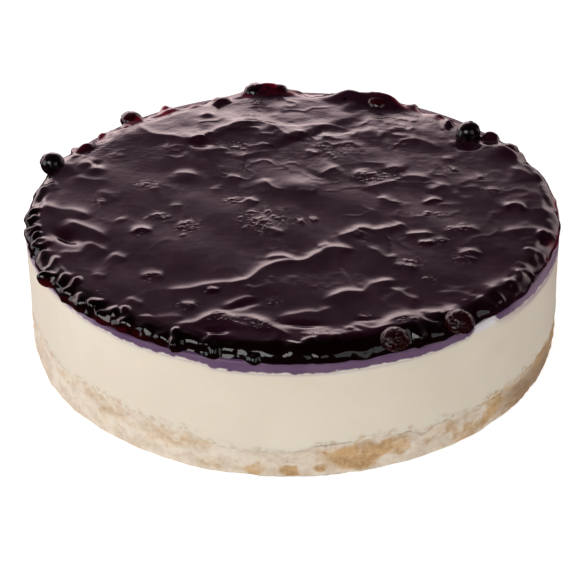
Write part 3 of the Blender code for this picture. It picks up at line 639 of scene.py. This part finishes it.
def ripples(places):
    """Soft ripples and a web of fine creases, strong at the back and faint at the front left."""
    points = on_level(places)
    strength = FRONT_RIPPLES + BACK_RIPPLES_MORE * smooth_step((places[:, 1] - 6.0) / 56.0)
    strength += RIGHT_RIPPLES_MORE * smooth_step((places[:, 0] - 10.0) / 50.0)
    web = np.exp(-np.abs(rough_noise(points, WEB_SIZE, 3, 8.0)) / WEB_SHARE)
    web *= smooth_step(0.5 + 1.6 * noise_at(points, WEB_SIZE, 15.0))
    return strength * (RIPPLE_HEIGHT * rough_noise(points, RIPPLE_SIZE, 3, 3.0) + WEB_HEIGHT * web)


def edge_lumps():
    """The listed lumps, and fainter seeded ones along the rest of the edge."""
    rng = np.random.default_rng(SEED)
    lumps = list(EDGE_LUMPS)
    angle = BACK_LUMPS_FROM
    while angle < BACK_LUMPS_TO:
        lumps.append((angle, rng.uniform(*BACK_LUMP_OUT), rng.uniform(*BACK_LUMP_LEVEL),
                      rng.uniform(*BACK_LUMP_RADIUS)))
        angle += BACK_LUMP_PITCH * rng.uniform(0.8, 1.25)
    return lumps


def lump_swell(points, normals):
    """How far each point of the plain topping moves out along its normal to wrap the lumps."""
    total = np.ones(len(points))
    points = points + LUMP_STRAY * np.column_stack(
        [noise_at(points, LUMP_STRAY_LENGTH, shift) for shift in (41.0, 47.0, 53.0)])
    for angle, out, z, radius in edge_lumps():
        turn = math.radians(angle)
        middle = np.array((out * math.cos(turn), out * math.sin(turn), z))
        chosen = near(points, middle, middle, 2.5 * radius + 4.0)
        toward = middle - points[chosen]
        along = np.einsum("ij,ij->i", toward, normals[chosen])
        aside = np.einsum("ij,ij->i", toward, toward) - along ** 2
        reach = along + np.sqrt(np.clip(radius ** 2 - aside, 0.0, None))
        held = smooth_step((radius ** 2 - aside) / (LUMP_BLEND * radius ** 2))
        total[chosen] += held * np.exp(reach / LUMP_SOFTNESS)
    return LUMP_SOFTNESS * np.log(total)


def behind(angle):
    """From 0 at the front and sides to 1 at the back."""
    return smooth_step((np.sin(np.radians(angle)) - BACK_FROM) / BACK_OVER)


def edge_radius(angle):
    return TOPPING_RADIUS - BACK_DRAW_IN * behind(angle)


def shoulder_width(angle):
    return SHOULDER_WIDTH + BACK_SHOULDER_MORE * behind(angle)


def wet_swell(points, share):
    """The uneven wet surface of the edge, smooth like a thick liquid."""
    broad = WET_SWELL * rough_noise(points, WET_SWELL_LENGTH, 2, 61.0)
    fine = WET_FINE * noise_at(points, WET_FINE_LENGTH, 67.0)
    return smooth_step((share - 0.1) / 0.3) * (broad + fine)


def make_topping():
    """The berry topping: turned plain, then moved out to its folds, bumps and wet edge lumps."""
    bottom = CREAM_TOP - TOPPING_LAP
    drop = TOPPING_LEVEL - bottom
    flat = TOPPING_RADIUS - SHOULDER_WIDTH
    profile = [(flat * ring / TOPPING_RINGS, TOPPING_LEVEL) for ring in range(TOPPING_RINGS + 1)]
    for step in range(1, SHOULDER_STEPS + 1):
        turn = 0.5 * math.pi * step / SHOULDER_STEPS
        profile.append((flat + SHOULDER_WIDTH * math.sin(turn), bottom + drop * math.cos(turn)))
    profile.append((0.0, bottom))
    topping = lathe("glazed_topping", profile, TOPPING_SIDES)
    points = read_points(topping.data)
    radius = np.hypot(points[:, 0], points[:, 1])
    angle = np.degrees(np.arctan2(points[:, 1], points[:, 0]))
    under = points[:, 2] < bottom + 0.001
    share = np.clip((radius - flat) / SHOULDER_WIDTH, 0.0, 1.0)
    width = shoulder_width(angle)
    rim = edge_radius(angle)
    inset = np.where(radius > flat, rim - width + share * width, radius * (rim - width) / flat)
    scale = np.where(radius > 0.001, inset / np.maximum(radius, 0.001), 1.0)
    points[:, :2] *= scale[:, None]
    slope = share / width
    fall = np.sqrt(np.clip(1.0 - share ** 2, 0.0, 1.0)) / drop
    size = np.maximum(np.hypot(slope, fall), 1e-9)
    turn = np.radians(angle)
    normals = np.column_stack((slope / size * np.cos(turn), slope / size * np.sin(turn), fall / size))
    places = points[:, :2]
    rise = waves(places) + ripples(places)
    lines_at = warped(places, WARP, WARP_LENGTH)
    for fold in FOLDS + WRINKLES:
        add_fold(rise, lines_at, fold)
    rise *= 1.0 - LEFT_SOFTER * smooth_step((LEFT_FROM - places[:, 0]) / LEFT_OVER)
    ragged_at = warped(lines_at, CREASE_WARP, CREASE_WARP_LENGTH)
    for crease in CREASES:
        add_fold(rise, ragged_at, crease)
    for bump in BUMPS:
        add_bump(rise, places, bump)
    for hollow in HOLLOWS:
        add_hollow(rise, places, hollow)
    for *mound, height in MOUNDS:
        add_hollow(rise, places, (*mound, -height))
    add_clusters(rise, places)
    swell = lump_swell(points, normals)
    swell += wet_swell(points, share)
    moved = points + normals * swell[:, None]
    moved[:, 2] += rise * np.clip(normals[:, 2], 0.0, 1.0)
    moved[:, 2] = np.maximum(moved[:, 2], bottom)
    moved[under & (radius > 1.0), 2] = bottom
    moved[under & (radius < 1.0)] = points[under & (radius < 1.0)]
    write_points(topping.data, moved)
    paint_topping(topping.data, points, angle, share, moved[:, 2])
    return topping


def paint_topping(mesh, points, angle, share, level):
    """Keeps where the glaze is wet, thin and red with painted backlight glow, speckled with bubbles and
    finely wrinkled.
    """
    places = points[:, :2]
    front = 1.0 - behind(angle)
    gloss = smooth_step((share - 0.05) / 0.45 + 0.3 * noise_at(points, 6.0, 2.0)) * (0.35 + 0.65 * front)
    gloss *= 1.0 - 0.6 * smooth_step(1.5 - np.abs(turned_distance(angle, SATIN_MIDDLE)) / SATIN_HALF_WIDTH)
    low = np.maximum(smooth_step((THIN_FROM - level) / THIN_OVER) * front,
                     smooth_step((share - 0.15) / 0.35) * (1.0 - front))
    # the thin edge's red: partly its own colour, partly painted light shining through from behind
    thin = np.clip(low * round_the_cake(RED_EDGE_AND_BACKLIT_GLOW, angle) * (share > 0.0), 0.0, 1.0)
    speckled = np.zeros(len(points))
    for x, y, spread_x, spread_y, count in CLUSTERS:
        away = ((places[:, 0] - x) / spread_x) ** 2 + ((places[:, 1] - y) / spread_y) ** 2
        dense = min(1.0, count / (spread_x * spread_y) / SPECK_DENSE)
        speckled = np.maximum(speckled, dense * np.exp(-away))
    for *_, path in CREASES:
        middle = np.mean(path, axis=0)
        away = ((places - middle) / CREASE_SPECKS) ** 2
        speckled = np.maximum(speckled, CREASE_SPECKLED * np.exp(-away.sum(axis=1)))
    paint(mesh, "speckled", speckled * (share <= 0.0))
    paint(mesh, "wrinkled", smooth_step((places[:, 1] - 5.0) / 50.0) * (share <= 0.0))
    paint(mesh, "gloss", gloss)
    paint(mesh, "thin", thin)


def make_berry(node, x, y, z, radius, height, tilt, turn):
    """A berry with its star-shaped crown, slightly dented and squashed, at its place."""
    bpy.ops.mesh.primitive_uv_sphere_add(segments=72, ring_count=48, radius=radius * MM)
    ball = bpy.context.active_object
    ball.name = "fine_" + node
    mesh = ball.data
    mesh.name = ball.name
    points = read_points(mesh)
    outward = points / np.linalg.norm(points, axis=1)[:, None]
    polar = np.arccos(np.clip(outward[:, 2], -1.0, 1.0))
    lobes = np.arctan2(outward[:, 1], outward[:, 0])
    ring = CROWN_RING + CROWN_LOBES * np.cos(5.0 * lobes)
    crown = CROWN_HEIGHT * np.exp(-((polar - ring) / CROWN_WIDTH) ** 2)
    pit = -PIT_DEPTH * smooth_step((ring - polar) / 0.22)
    dents = BERRY_DENTS * rough_noise(outward, 0.7, 2, radius + x)
    dents += BERRY_FINE_DENTS * noise_at(outward, 0.16, x)
    if node in DULL_BERRIES:
        dents -= DULL_CREASES * np.exp(-(noise_at(outward, 0.42, x) / 0.14) ** 2)
    points *= (1.0 + crown + pit + dents)[:, None]
    facing = Euler((0.0, math.radians(tilt), math.radians(turn)), "XYZ").to_matrix()
    points = points @ np.array(facing).T
    points[:, 2] *= height
    write_points(mesh, points)
    paint(mesh, "crown", np.clip(smooth_step((0.55 - polar) / 0.2), 0.0, 1.0))
    mesh.shade_smooth()
    ball.location = (x * MM, y * MM, z * MM)
    return ball


def radius_at(height):
    share = np.clip(height / CREAM_TOP, 0.0, 1.0)
    return FOOT_RADIUS + (CAKE_RADIUS - FOOT_RADIUS) * share


def side_values(points):
    radius = np.hypot(points[:, 0], points[:, 1])
    angle = np.mod(np.degrees(np.arctan2(points[:, 1], points[:, 0])), 360.0)
    return radius, angle


def side_ring(name, rows, rim=()):
    """A layer of the cake, one high, whose side has fine rows below an optional rounded rim."""
    inner = CAKE_RADIUS - FINE_SIDE_DEPTH
    top = rim[-1][1] if rim else 1.0
    profile = [(0.0, 1.0), (inner, 1.0)] + list(rim[:-1])
    profile += [(CAKE_RADIUS, top * (1.0 - row / rows)) for row in range(rows + 1)]
    profile += [(inner, 0.0), (0.0, 0.0)]
    ring = lathe(name, profile, SIDE_STEPS)
    points = read_points(ring.data)
    radius, angle = side_values(points)
    return ring, points, radius, angle, radius > inner + 1.0


def set_side(ring, points, radius, angle, out):
    """Gives a layer the cake's slant and moves its side out by what is asked."""
    grown = radius * radius_at(points[:, 2]) / CAKE_RADIUS + out
    points[:, 0] = grown * np.cos(np.radians(angle))
    points[:, 1] = grown * np.sin(np.radians(angle))
    write_points(ring.data, points)


def from_patch(angle, height, patch):
    """How far each place lies from a patch's middle, squared, in shares of its half sizes."""
    middle, level, half_wide, half_high = patch
    return (turned_distance(angle, middle) / half_wide) ** 2 + ((height - level) / half_high) ** 2


def golden_share(angle, height, points):
    """How golden the crumb is at a place on the side, from 0, smeared with cream, to 1."""
    shown = np.zeros(len(angle))
    wander = 1.6 * rough_noise(points, 5.0, 2, 4.0)
    for *patch, strength in GOLDEN_PATCHES:
        away = from_patch(angle + 0.5 * wander, height + wander, patch)
        shown = np.maximum(shown, strength * smooth_step((1.9 - away) / 1.7))
    back = smooth_step((np.cos(np.radians(angle - 80.0)) + 0.1) / 0.5)
    shown = np.maximum(shown, back * (0.55 + 0.35 * noise_at(points, 12.0, 8.0)))
    for patch in PALE_PATCHES:
        away = from_patch(angle + 0.4 * wander, height + wander, patch)
        shown *= 1.0 - smooth_step(1.4 - away)
    return np.clip(shown, 0.0, 1.0)


def crumb_relief(angle, height, spacing, seed):
    """Round crumbs packed on the side: the nearest of many seeded centres swells each place."""
    rng = np.random.default_rng(seed)
    across = np.radians(angle) * FOOT_RADIUS
    count = int(2.0 * math.pi * FOOT_RADIUS * (CRUMBS_TO - CRUMBS_FROM) / spacing ** 2)
    centres = np.column_stack((rng.uniform(0.0, 2.0 * math.pi * FOOT_RADIUS, count),
                               rng.uniform(CRUMBS_FROM, CRUMBS_TO, count)))
    sizes = rng.uniform(*CRUMB_RADIUS_RANGE, count) * spacing * CRUMB_RADIUS
    order = np.argsort(centres[:, 0])
    centres, sizes = centres[order], sizes[order]
    swell = np.zeros(len(across))
    by_across = np.argsort(across)
    sorted_across = across[by_across]
    for centre, size in zip(centres, sizes):
        first, last = np.searchsorted(sorted_across, (centre[0] - size, centre[0] + size))
        chosen = by_across[first:last]
        away = ((across[chosen] - centre[0]) ** 2 + (height[chosen] - centre[1]) ** 2) / size ** 2
        swell[chosen] = np.maximum(swell[chosen], size * 0.5 * np.sqrt(np.clip(1.0 - away, 0.0, None)))
    return swell


def make_crumb_side():
    """The crumb base, with packed crumbs where it is golden and a soft smear where it is pale."""
    base, points, radius, angle, side = side_ring("crumb_side", CRUMB_ROWS)
    points[:, 2] *= np.where(side, round_the_cake(BASE_EDGE, angle), BASE_INNER_TOP)
    height = points[:, 2]
    golden = golden_share(angle, height, points)
    grit = crumb_relief(angle, height, *COARSE_CRUMBS)
    fine = crumb_relief(angle, height, *FINE_CRUMBS)
    rough = 0.40 * rough_noise(points, (9.0, 9.0, 5.0), 3, 1.0)
    strength = 0.15 + 0.35 * golden + 0.25 * smooth_step(2.0 * noise_at(points, 7.0, 5.0))
    out = side * (rough + strength * (0.6 * grit + 0.5 * fine) - 0.2)
    out -= side * 0.6 * smooth_step((0.7 - height) / 0.7)
    set_side(base, points, radius, angle, out)
    paint(base.data, "golden", golden)
    paint(base.data, "height", height)
    # painted shade: the foot of the base darker at the right, where less light falls
    painted_shade = smooth_step(1.5 - np.abs(turned_distance(angle, PAINTED_SHADE_MIDDLE)) / PAINTED_SHADE_HALF_WIDTH)
    paint(base.data, "painted_shade", painted_shade * smooth_step(1.4 - height / PAINTED_SHADE_HEIGHT))
    return base


def side_waves(points):
    return SIDE_WAVE * rough_noise(points, SIDE_WAVE_LENGTH, 2, 2.0)


def gap_and_sheen_share(angle):
    """From 0 to 1 in the pale gap of the stained band, where a painted reflection whitens the cream."""
    return 1.0 - smooth_step((np.abs(turned_distance(angle, GAP_MIDDLE)) - GAP_HALF_WIDTH) / GAP_FADE)


def make_cream_side():
    """The pale filling: a smooth side with faint waves, and crumbs caught along its foot."""
    cream, points, radius, angle, side = side_ring("cream_side", CREAM_ROWS)
    foot = np.where(side, round_the_cake(BASE_EDGE, angle), BASE_INNER_TOP) - 0.2
    brow = np.where(side, round_the_cake(BAND_EDGE, angle), BAND_INNER_FOOT) + 0.1
    points[:, 2] = foot + (brow - foot) * points[:, 2]
    height = points[:, 2]
    above = height - foot
    fringe = smooth_step((3.0 + 2.0 * rough_noise(points, 4.0, 2, 6.0) - above) / 2.6)
    grit = crumb_relief(angle, height, *CAUGHT_CRUMBS)
    out = side * (side_waves(points) + 0.45 * fringe * grit)
    set_side(cream, points, radius, angle, out)
    golden = golden_share(angle, np.minimum(height, foot - 1.0), points)
    paint(cream.data, "fringe", fringe * side)
    paint(cream.data, "golden", golden)
    stain = round_the_cake(BAND_EDGE, angle) - height
    paint(cream.data, "below_band", stain)
    paint(cream.data, "gap", gap_and_sheen_share(angle) * smooth_step((height - GAP_FOOT) / 1.0))
    rosy = smooth_step(1.3 - np.abs(turned_distance(angle, ROSY_MIDDLE)) / ROSY_HALF_WIDTH)
    paint(cream.data, "rosy", rosy * smooth_step((height - ROSY_FOOT) / ROSY_FADE))
    return cream


def make_stained_side():
    """The stained cream under the topping, with its rounded rim and uneven lower edge."""
    share = CREAM_EDGE_ROUND / (CREAM_TOP - BAND_INNER_FOOT)
    turns = [0.5 * math.pi * step / BAND_RIM_STEPS for step in range(BAND_RIM_STEPS + 1)]
    rim = [(CAKE_RADIUS - CREAM_EDGE_ROUND * (1.0 - math.sin(turn)), 1.0 - share * (1.0 - math.cos(turn)))
           for turn in turns]
    band, points, radius, angle, side = side_ring("stained_side", BAND_ROWS, rim)
    foot = np.where(side, round_the_cake(BAND_EDGE, angle), BAND_INNER_FOOT)
    points[:, 2] = foot + (CREAM_TOP - foot) * points[:, 2]
    height = points[:, 2]
    set_side(band, points, radius, angle, side * side_waves(points))
    faint = smooth_step((236.0 - angle) / 30.0) * smooth_step((angle - 150.0) / 30.0)
    faint += 0.6 * smooth_step((angle - 312.0) / 16.0) * smooth_step((360.0 - angle) / 20.0)
    paint(band.data, "gap", gap_and_sheen_share(angle))
    paint(band.data, "faint", faint)
    paint(band.data, "above_foot", height - foot)
    return band


class Nodes:
    """A node tree, with short calls for the nodes that the materials and the studio use."""

    def __init__(self, owner, place="Object"):
        owner.use_nodes = True
        self.owner = owner
        self.tree = owner.node_tree
        self.shader = self.tree.nodes.get("Principled BSDF") or self.tree.nodes["Background"]
        self.place = self.tree.nodes.new("ShaderNodeTexCoord").outputs[place]

    def link(self, value, socket):
        if hasattr(value, "is_output"):
            self.tree.links.new(value, socket)
        else:
            socket.default_value = value

    def set(self, name, value):
        self.link(value, self.shader.inputs[name])

    def made(self, kind, inputs, **settings):
        """A new node, with its settings and with each input linked or set."""
        node = self.tree.nodes.new("ShaderNode" + kind)
        for name, value in settings.items():
            setattr(node, name, value)
        for name, value in inputs.items():
            self.link(value, node.inputs[name])
        return node

    def attribute(self, name):
        return self.made("Attribute", {}, attribute_name=name).outputs["Fac"]

    def noise(self, scale, detail=3.0, rough=0.5, place=None):
        place = self.place if place is None else place
        inputs = {"Vector": place, "Scale": scale, "Detail": detail, "Roughness": rough}
        return self.made("TexNoise", inputs).outputs["Fac"]

    def cells(self, scale):
        return self.made("TexVoronoi", {"Vector": self.place, "Scale": scale}).outputs["Distance"]

    def stretch(self, x, y, z):
        return self.made("Mapping", {"Vector": self.place, "Scale": (x, y, z)}).outputs["Vector"]

    def math(self, how, first, second=0.0, clamp=False):
        return self.made("Math", {0: first, 1: second}, operation=how, use_clamp=clamp).outputs[0]

    def times(self, first, second):
        return self.math("MULTIPLY", first, second)

    def span(self, value, low, high, to_low=0.0, to_high=1.0):
        inputs = {"Value": value, "From Min": low, "From Max": high, "To Min": to_low, "To Max": to_high}
        return self.made("MapRange", inputs, interpolation_type="SMOOTHSTEP").outputs["Result"]

    def patches(self, scale, detail, to_low=0.0, to_high=1.0, rough=0.5):
        """Soft patches of noise, from one value to another."""
        return self.span(self.noise(scale, detail, rough), 0.3, 0.7, to_low, to_high)

    def mix(self, share, first, second):
        colours = [value if hasattr(value, "is_output") else (*value, 1.0) for value in (first, second)]
        inputs = {"Factor": share, 6: colours[0], 7: colours[1]}
        return self.made("Mix", inputs, data_type="RGBA").outputs[2]

    def bump(self, height, strength, distance, before=None):
        inputs = {"Height": height, "Strength": strength, "Distance": distance * MM}
        if before is not None:
            inputs["Normal"] = before
        return self.made("Bump", inputs).outputs["Normal"]

    def soften(self, weight, radius, scale):
        """Light that goes a little way in, as in cream."""
        self.set("Subsurface Weight", weight)
        self.set("Subsurface Radius", radius)
        self.set("Subsurface Scale", scale)


def new_material(name):
    return Nodes(bpy.data.materials.new(name))


def topping_material():
    """Near-black glaze: satin on the flats, wet at the edge, red where it is thin, that red partly painted
    light shining through from behind.
    """
    nodes = new_material("berry_glaze")
    gloss = nodes.attribute("gloss")
    thin = nodes.attribute("thin")
    mottled = nodes.noise(90.0, 4.0, 0.6)
    body = nodes.mix(nodes.span(mottled, 0.35, 0.7), (0.019, 0.004, 0.010), (0.030, 0.007, 0.016))
    body = nodes.mix(gloss, body, (0.004, 0.001, 0.001))
    # painted light: the thin edge's red is brightened where light from behind would shine through it
    red_and_backlit_glow = nodes.times(thin, nodes.span(nodes.noise(140.0, 3.0), 0.38, 0.62))
    nodes.set("Base Color", nodes.mix(red_and_backlit_glow, body, (0.38, 0.006, 0.030)))
    satin = nodes.patches(110.0, 3.0, 0.13, 0.18)
    wet = nodes.times(gloss, -0.08)
    nodes.set("Roughness", nodes.math("ADD", satin, wet))
    nodes.set("IOR", 1.45)
    fine = nodes.noise(420.0, 4.0, 0.55, nodes.stretch(0.8, 1.3, 1.0))
    ripple = nodes.noise(150.0, 3.0, 0.5)
    calm = nodes.math("SUBTRACT", 1.0, gloss)
    fine_bump = nodes.bump(nodes.times(fine, calm), 0.08, 0.25)
    wrinkle = nodes.noise(310.0, 3.0, 0.6, nodes.stretch(0.7, 1.2, 1.0))
    wrinkle = nodes.times(wrinkle, nodes.attribute("wrinkled"))
    fine_bump = nodes.bump(wrinkle, 0.22, 0.5, fine_bump)
    specks = nodes.span(nodes.noise(760.0, 2.0, 0.5, nodes.stretch(0.7, 1.0, 1.0)), 0.56, 0.74)
    specks = nodes.times(specks, nodes.attribute("speckled"))
    speck_bump = nodes.bump(specks, 0.5, 0.35, fine_bump)
    nodes.set("Normal", nodes.bump(ripple, 0.06, 0.6, speck_bump))
    return nodes.owner


def berry_material(name, skin, crown, roughness, specular=0.5):
    nodes = new_material(name)
    mottled = nodes.span(nodes.noise(240.0, 4.0, 0.6), 0.3, 0.7)
    body = nodes.mix(mottled, skin, tuple(1.7 * value for value in skin))
    nodes.set("Base Color", nodes.mix(nodes.attribute("crown"), body, crown))
    nodes.set("Roughness", nodes.patches(500.0, 2.0, roughness, roughness + 0.08))
    nodes.set("Specular IOR Level", specular)
    nodes.set("IOR", 1.45)
    nodes.set("Normal", nodes.bump(nodes.noise(700.0, 3.0), 0.2, 0.15))
    return nodes.owner


def cream_material():
    nodes = new_material("pale_cream")
    cream = nodes.mix(nodes.patches(28.0, 3.0), (0.80, 0.705, 0.565), (0.84, 0.75, 0.61))
    speck = nodes.span(nodes.cells(160.0), 0.06, 0.02)
    rare = nodes.span(nodes.noise(35.0, 2.0), 0.60, 0.66)
    cream = nodes.mix(nodes.times(speck, rare), cream, (0.93, 0.89, 0.80))
    crumb = nodes.mix(nodes.attribute("golden"), (0.68, 0.52, 0.38), (0.55, 0.34, 0.14))
    grain = nodes.span(nodes.noise(420.0, 4.0, 0.6), 0.42, 0.62)
    caught = nodes.times(nodes.attribute("fringe"), grain)
    cream = nodes.mix(nodes.times(caught, 0.8), cream, crumb)
    halo = nodes.span(nodes.attribute("below_band"), 1.6, 0.0, 0.0, 0.35)
    cream = nodes.mix(halo, cream, (0.55, 0.42, 0.50))
    cream = nodes.mix(nodes.times(nodes.attribute("rosy"), 0.9), cream, (0.51, 0.39, 0.39))
    # the pale gap: unstained cream, whitened by a painted reflection
    cream = nodes.mix(nodes.attribute("gap"), cream, GAP_AND_SHEEN_COLOUR)
    nodes.set("Base Color", cream)
    nodes.set("Roughness", nodes.patches(90.0, 3.0, 0.42, 0.55))
    nodes.soften(0.25, (0.010, 0.007, 0.004), 0.5)
    nodes.set("Normal", nodes.bump(nodes.noise(160.0, 5.0, 0.55), 0.12, 0.5))
    return nodes.owner


def stained_material():
    nodes = new_material("stained_cream")
    deep = nodes.mix(nodes.patches(60.0, 4.0), (0.118, 0.055, 0.130), (0.175, 0.092, 0.180))
    soft = (0.42, 0.29, 0.38)
    colour = nodes.mix(nodes.times(nodes.attribute("faint"), 0.85), deep, soft)
    cream = (0.80, 0.73, 0.62)
    ragged = nodes.math("ADD", nodes.attribute("above_foot"),
                        nodes.patches(230.0, 4.0, -0.7, 0.5, 0.6))
    colour = nodes.mix(nodes.span(ragged, 0.9, 0.1, 0.0, 0.9), colour, cream)
    # the pale gap: unstained cream, whitened by a painted reflection
    colour = nodes.mix(nodes.attribute("gap"), colour, GAP_AND_SHEEN_COLOUR)
    nodes.set("Base Color", colour)
    nodes.set("Roughness", nodes.patches(120.0, 3.0, 0.34, 0.48))
    nodes.soften(0.10, (0.006, 0.003, 0.005), 0.5)
    nodes.set("Normal", nodes.bump(nodes.noise(180.0, 4.0), 0.12, 0.4))
    return nodes.owner


def crumb_material():
    """Packed crumb: golden where it is bare, beige where cream is smeared over it."""
    nodes = new_material("biscuit_crumb")
    golden = nodes.attribute("golden")
    grain = nodes.span(nodes.noise(520.0, 4.0, 0.65), 0.35, 0.65)
    cloud = nodes.span(nodes.noise(110.0, 4.0, 0.6, nodes.stretch(1.0, 1.0, 1.6)), 0.38, 0.62)
    pale = nodes.mix(cloud, (0.67, 0.53, 0.39), (0.80, 0.69, 0.55))
    pale = nodes.mix(nodes.times(grain, 0.35), pale, (0.86, 0.79, 0.69))
    gold = nodes.mix(cloud, (0.46, 0.26, 0.11), (0.63, 0.38, 0.17))
    gold = nodes.mix(nodes.times(grain, 0.45), gold, (0.72, 0.52, 0.29))
    shown = nodes.math("ADD", golden, nodes.patches(190.0, 4.0, -0.28, 0.28, 0.6), True)
    colour = nodes.mix(nodes.span(shown, 0.05, 0.95), pale, gold)
    dark = nodes.times(nodes.span(nodes.noise(330.0, 3.0, 0.6), 0.66, 0.74), shown)
    colour = nodes.mix(nodes.times(dark, 0.75), colour, (0.20, 0.09, 0.03))
    olive = nodes.span(nodes.noise(260.0, 2.0, 0.5, nodes.stretch(1.3, 1.3, 0.9)), 0.67, 0.75)
    colour = nodes.mix(nodes.times(olive, 0.5), colour, (0.36, 0.30, 0.14))
    # painted shade on the base's foot at the right
    colour = nodes.mix(nodes.times(nodes.attribute("painted_shade"), 0.75), colour, (0.36, 0.23, 0.13))
    # painted shadow: a dark line, broken into patches, along the bottom where the base meets the floor
    foot = nodes.span(nodes.attribute("height"), 0.75, 0.25)
    painted_contact_shade = nodes.span(nodes.noise(60.0, 2.0), 0.36, 0.46)
    colour = nodes.mix(nodes.times(foot, painted_contact_shade), colour, (0.20, 0.15, 0.06))
    nodes.set("Base Color", colour)
    nodes.set("Roughness", nodes.span(golden, 0.0, 1.0, 0.55, 0.72))
    nodes.soften(0.10, (0.006, 0.004, 0.002), 0.4)
    nodes.set("Normal", nodes.bump(nodes.noise(700.0, 4.0, 0.6), 0.35, 0.3))
    return nodes.owner


def dress(piece, material, slot, *replaced):
    piece.data.materials.clear()
    piece.data.materials.append(material)
    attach(piece, "root")
    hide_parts(*replaced)


def make_camera():
    lens = bpy.data.cameras.new("camera")
    lens.lens = CAMERA_LENS
    lens.sensor_width = 36.0
    lens.clip_start = 0.01
    lens.clip_end = 50.0
    camera = bpy.data.objects.new("camera", lens)
    place = Matrix.Translation(Vector(CAMERA_PLACE) * MM)
    tilt = Matrix.Rotation(math.radians(90.0 - CAMERA_DOWN), 4, "X")
    camera.matrix_world = place @ tilt @ Matrix.Rotation(math.radians(CAMERA_ROLL), 4, "Z")
    bpy.context.scene.collection.objects.link(camera)
    bpy.context.scene.camera = camera


def make_floor():
    bpy.ops.mesh.primitive_plane_add(size=12.0, location=(0.0, 0.0, -0.0004))
    floor = bpy.context.active_object
    floor.name = "floor"
    nodes = new_material("pale_floor")
    nodes.set("Base Color", (0.86, 0.86, 0.86, 1.0))
    nodes.set("Roughness", 0.9)
    nodes.set("Emission Color", (1.0, 1.0, 1.0, 1.0))
    nodes.set("Emission Strength", 0.8)
    floor.data.materials.append(nodes.owner)
    floor.visible_glossy = False


def area_light(name, place, width, height, radiance, colour):
    """A soft box of a given brightness, aimed at the cake."""
    light = bpy.data.lights.new(name, "AREA")
    light.shape = "RECTANGLE"
    light.size = width
    light.size_y = height
    light.energy = radiance * math.pi * width * height
    light.color = colour
    lamp = bpy.data.objects.new(name, light)
    lamp.location = place
    toward = Vector(LIGHT_AIM) - Vector(place)
    lamp.rotation_euler = toward.to_track_quat("-Z", "Y").to_euler()
    bpy.context.scene.collection.objects.link(lamp)


def sine_of(angle):
    return math.sin(math.radians(angle))


def make_world():
    """A studio that is bright low down behind the cake and dim above, as its gloss shows."""
    world = bpy.data.worlds.new("studio")
    bpy.context.scene.world = world
    nodes = Nodes(world, "Generated")
    toward = nodes.made("SeparateXYZ", {0: nodes.place}).outputs
    low_down = nodes.span(toward["Z"], sine_of(HORIZON_DIM), sine_of(HORIZON_BRIGHT))
    behind_cake = nodes.span(toward["Y"], 0.0, 0.7)
    above = nodes.span(toward["Z"], -0.2, 0.05)
    leftward = nodes.span(toward["X"], 0.17, 0.09, 0.45, 1.0)
    glow = nodes.times(nodes.times(low_down, behind_cake), nodes.times(above, leftward))
    overhead = nodes.span(toward["Z"], sine_of(OVERHEAD_FROM), sine_of(OVERHEAD_TO), 1.0, OVERHEAD_SHARE)
    upward = nodes.span(toward["Z"], -0.1, 0.35, 0.02, DIM_STRENGTH)
    backward = nodes.span(toward["Y"], 0.0, 0.6, 0.06, 1.0)
    dim = nodes.times(nodes.times(upward, overhead), nodes.times(backward, leftward))
    nodes.set("Strength", nodes.math("ADD", nodes.times(glow, GLOW_STRENGTH), dim))
    nodes.set("Color", nodes.mix(low_down, DIM_COLOUR, GLOW_COLOUR))


def main():
    make_camera()
    make_world()
    for light in LIGHTS:
        area_light(*light)
    make_floor()
    dress(make_topping(), topping_material(), "berry_topping", "berry_topping")
    dress(make_stained_side(), stained_material(), "stained_layer", "stained_layer")
    dress(make_cream_side(), cream_material(), "cheese_filling", "cheese_filling")
    dress(make_crumb_side(), crumb_material(), "crumb_base", "crumb_base")
    dark = berry_material("dark_berry", (0.004, 0.0015, 0.002), (0.008, 0.003, 0.003), 0.08)
    red = berry_material("red_berry", (0.022, 0.001, 0.003), (0.020, 0.002, 0.003), 0.10)
    dull = berry_material("dull_berry", (0.012, 0.0012, 0.0015), (0.016, 0.002, 0.002), 0.16, 0.3)
    for berry in BERRIES:
        material = dull if berry[0] in DULL_BERRIES else red if berry[0] in RED_BERRIES else dark
        dress(make_berry(*berry), material, "berry", berry[0])
    bpy.context.scene.view_settings.view_transform = "Standard"


main()
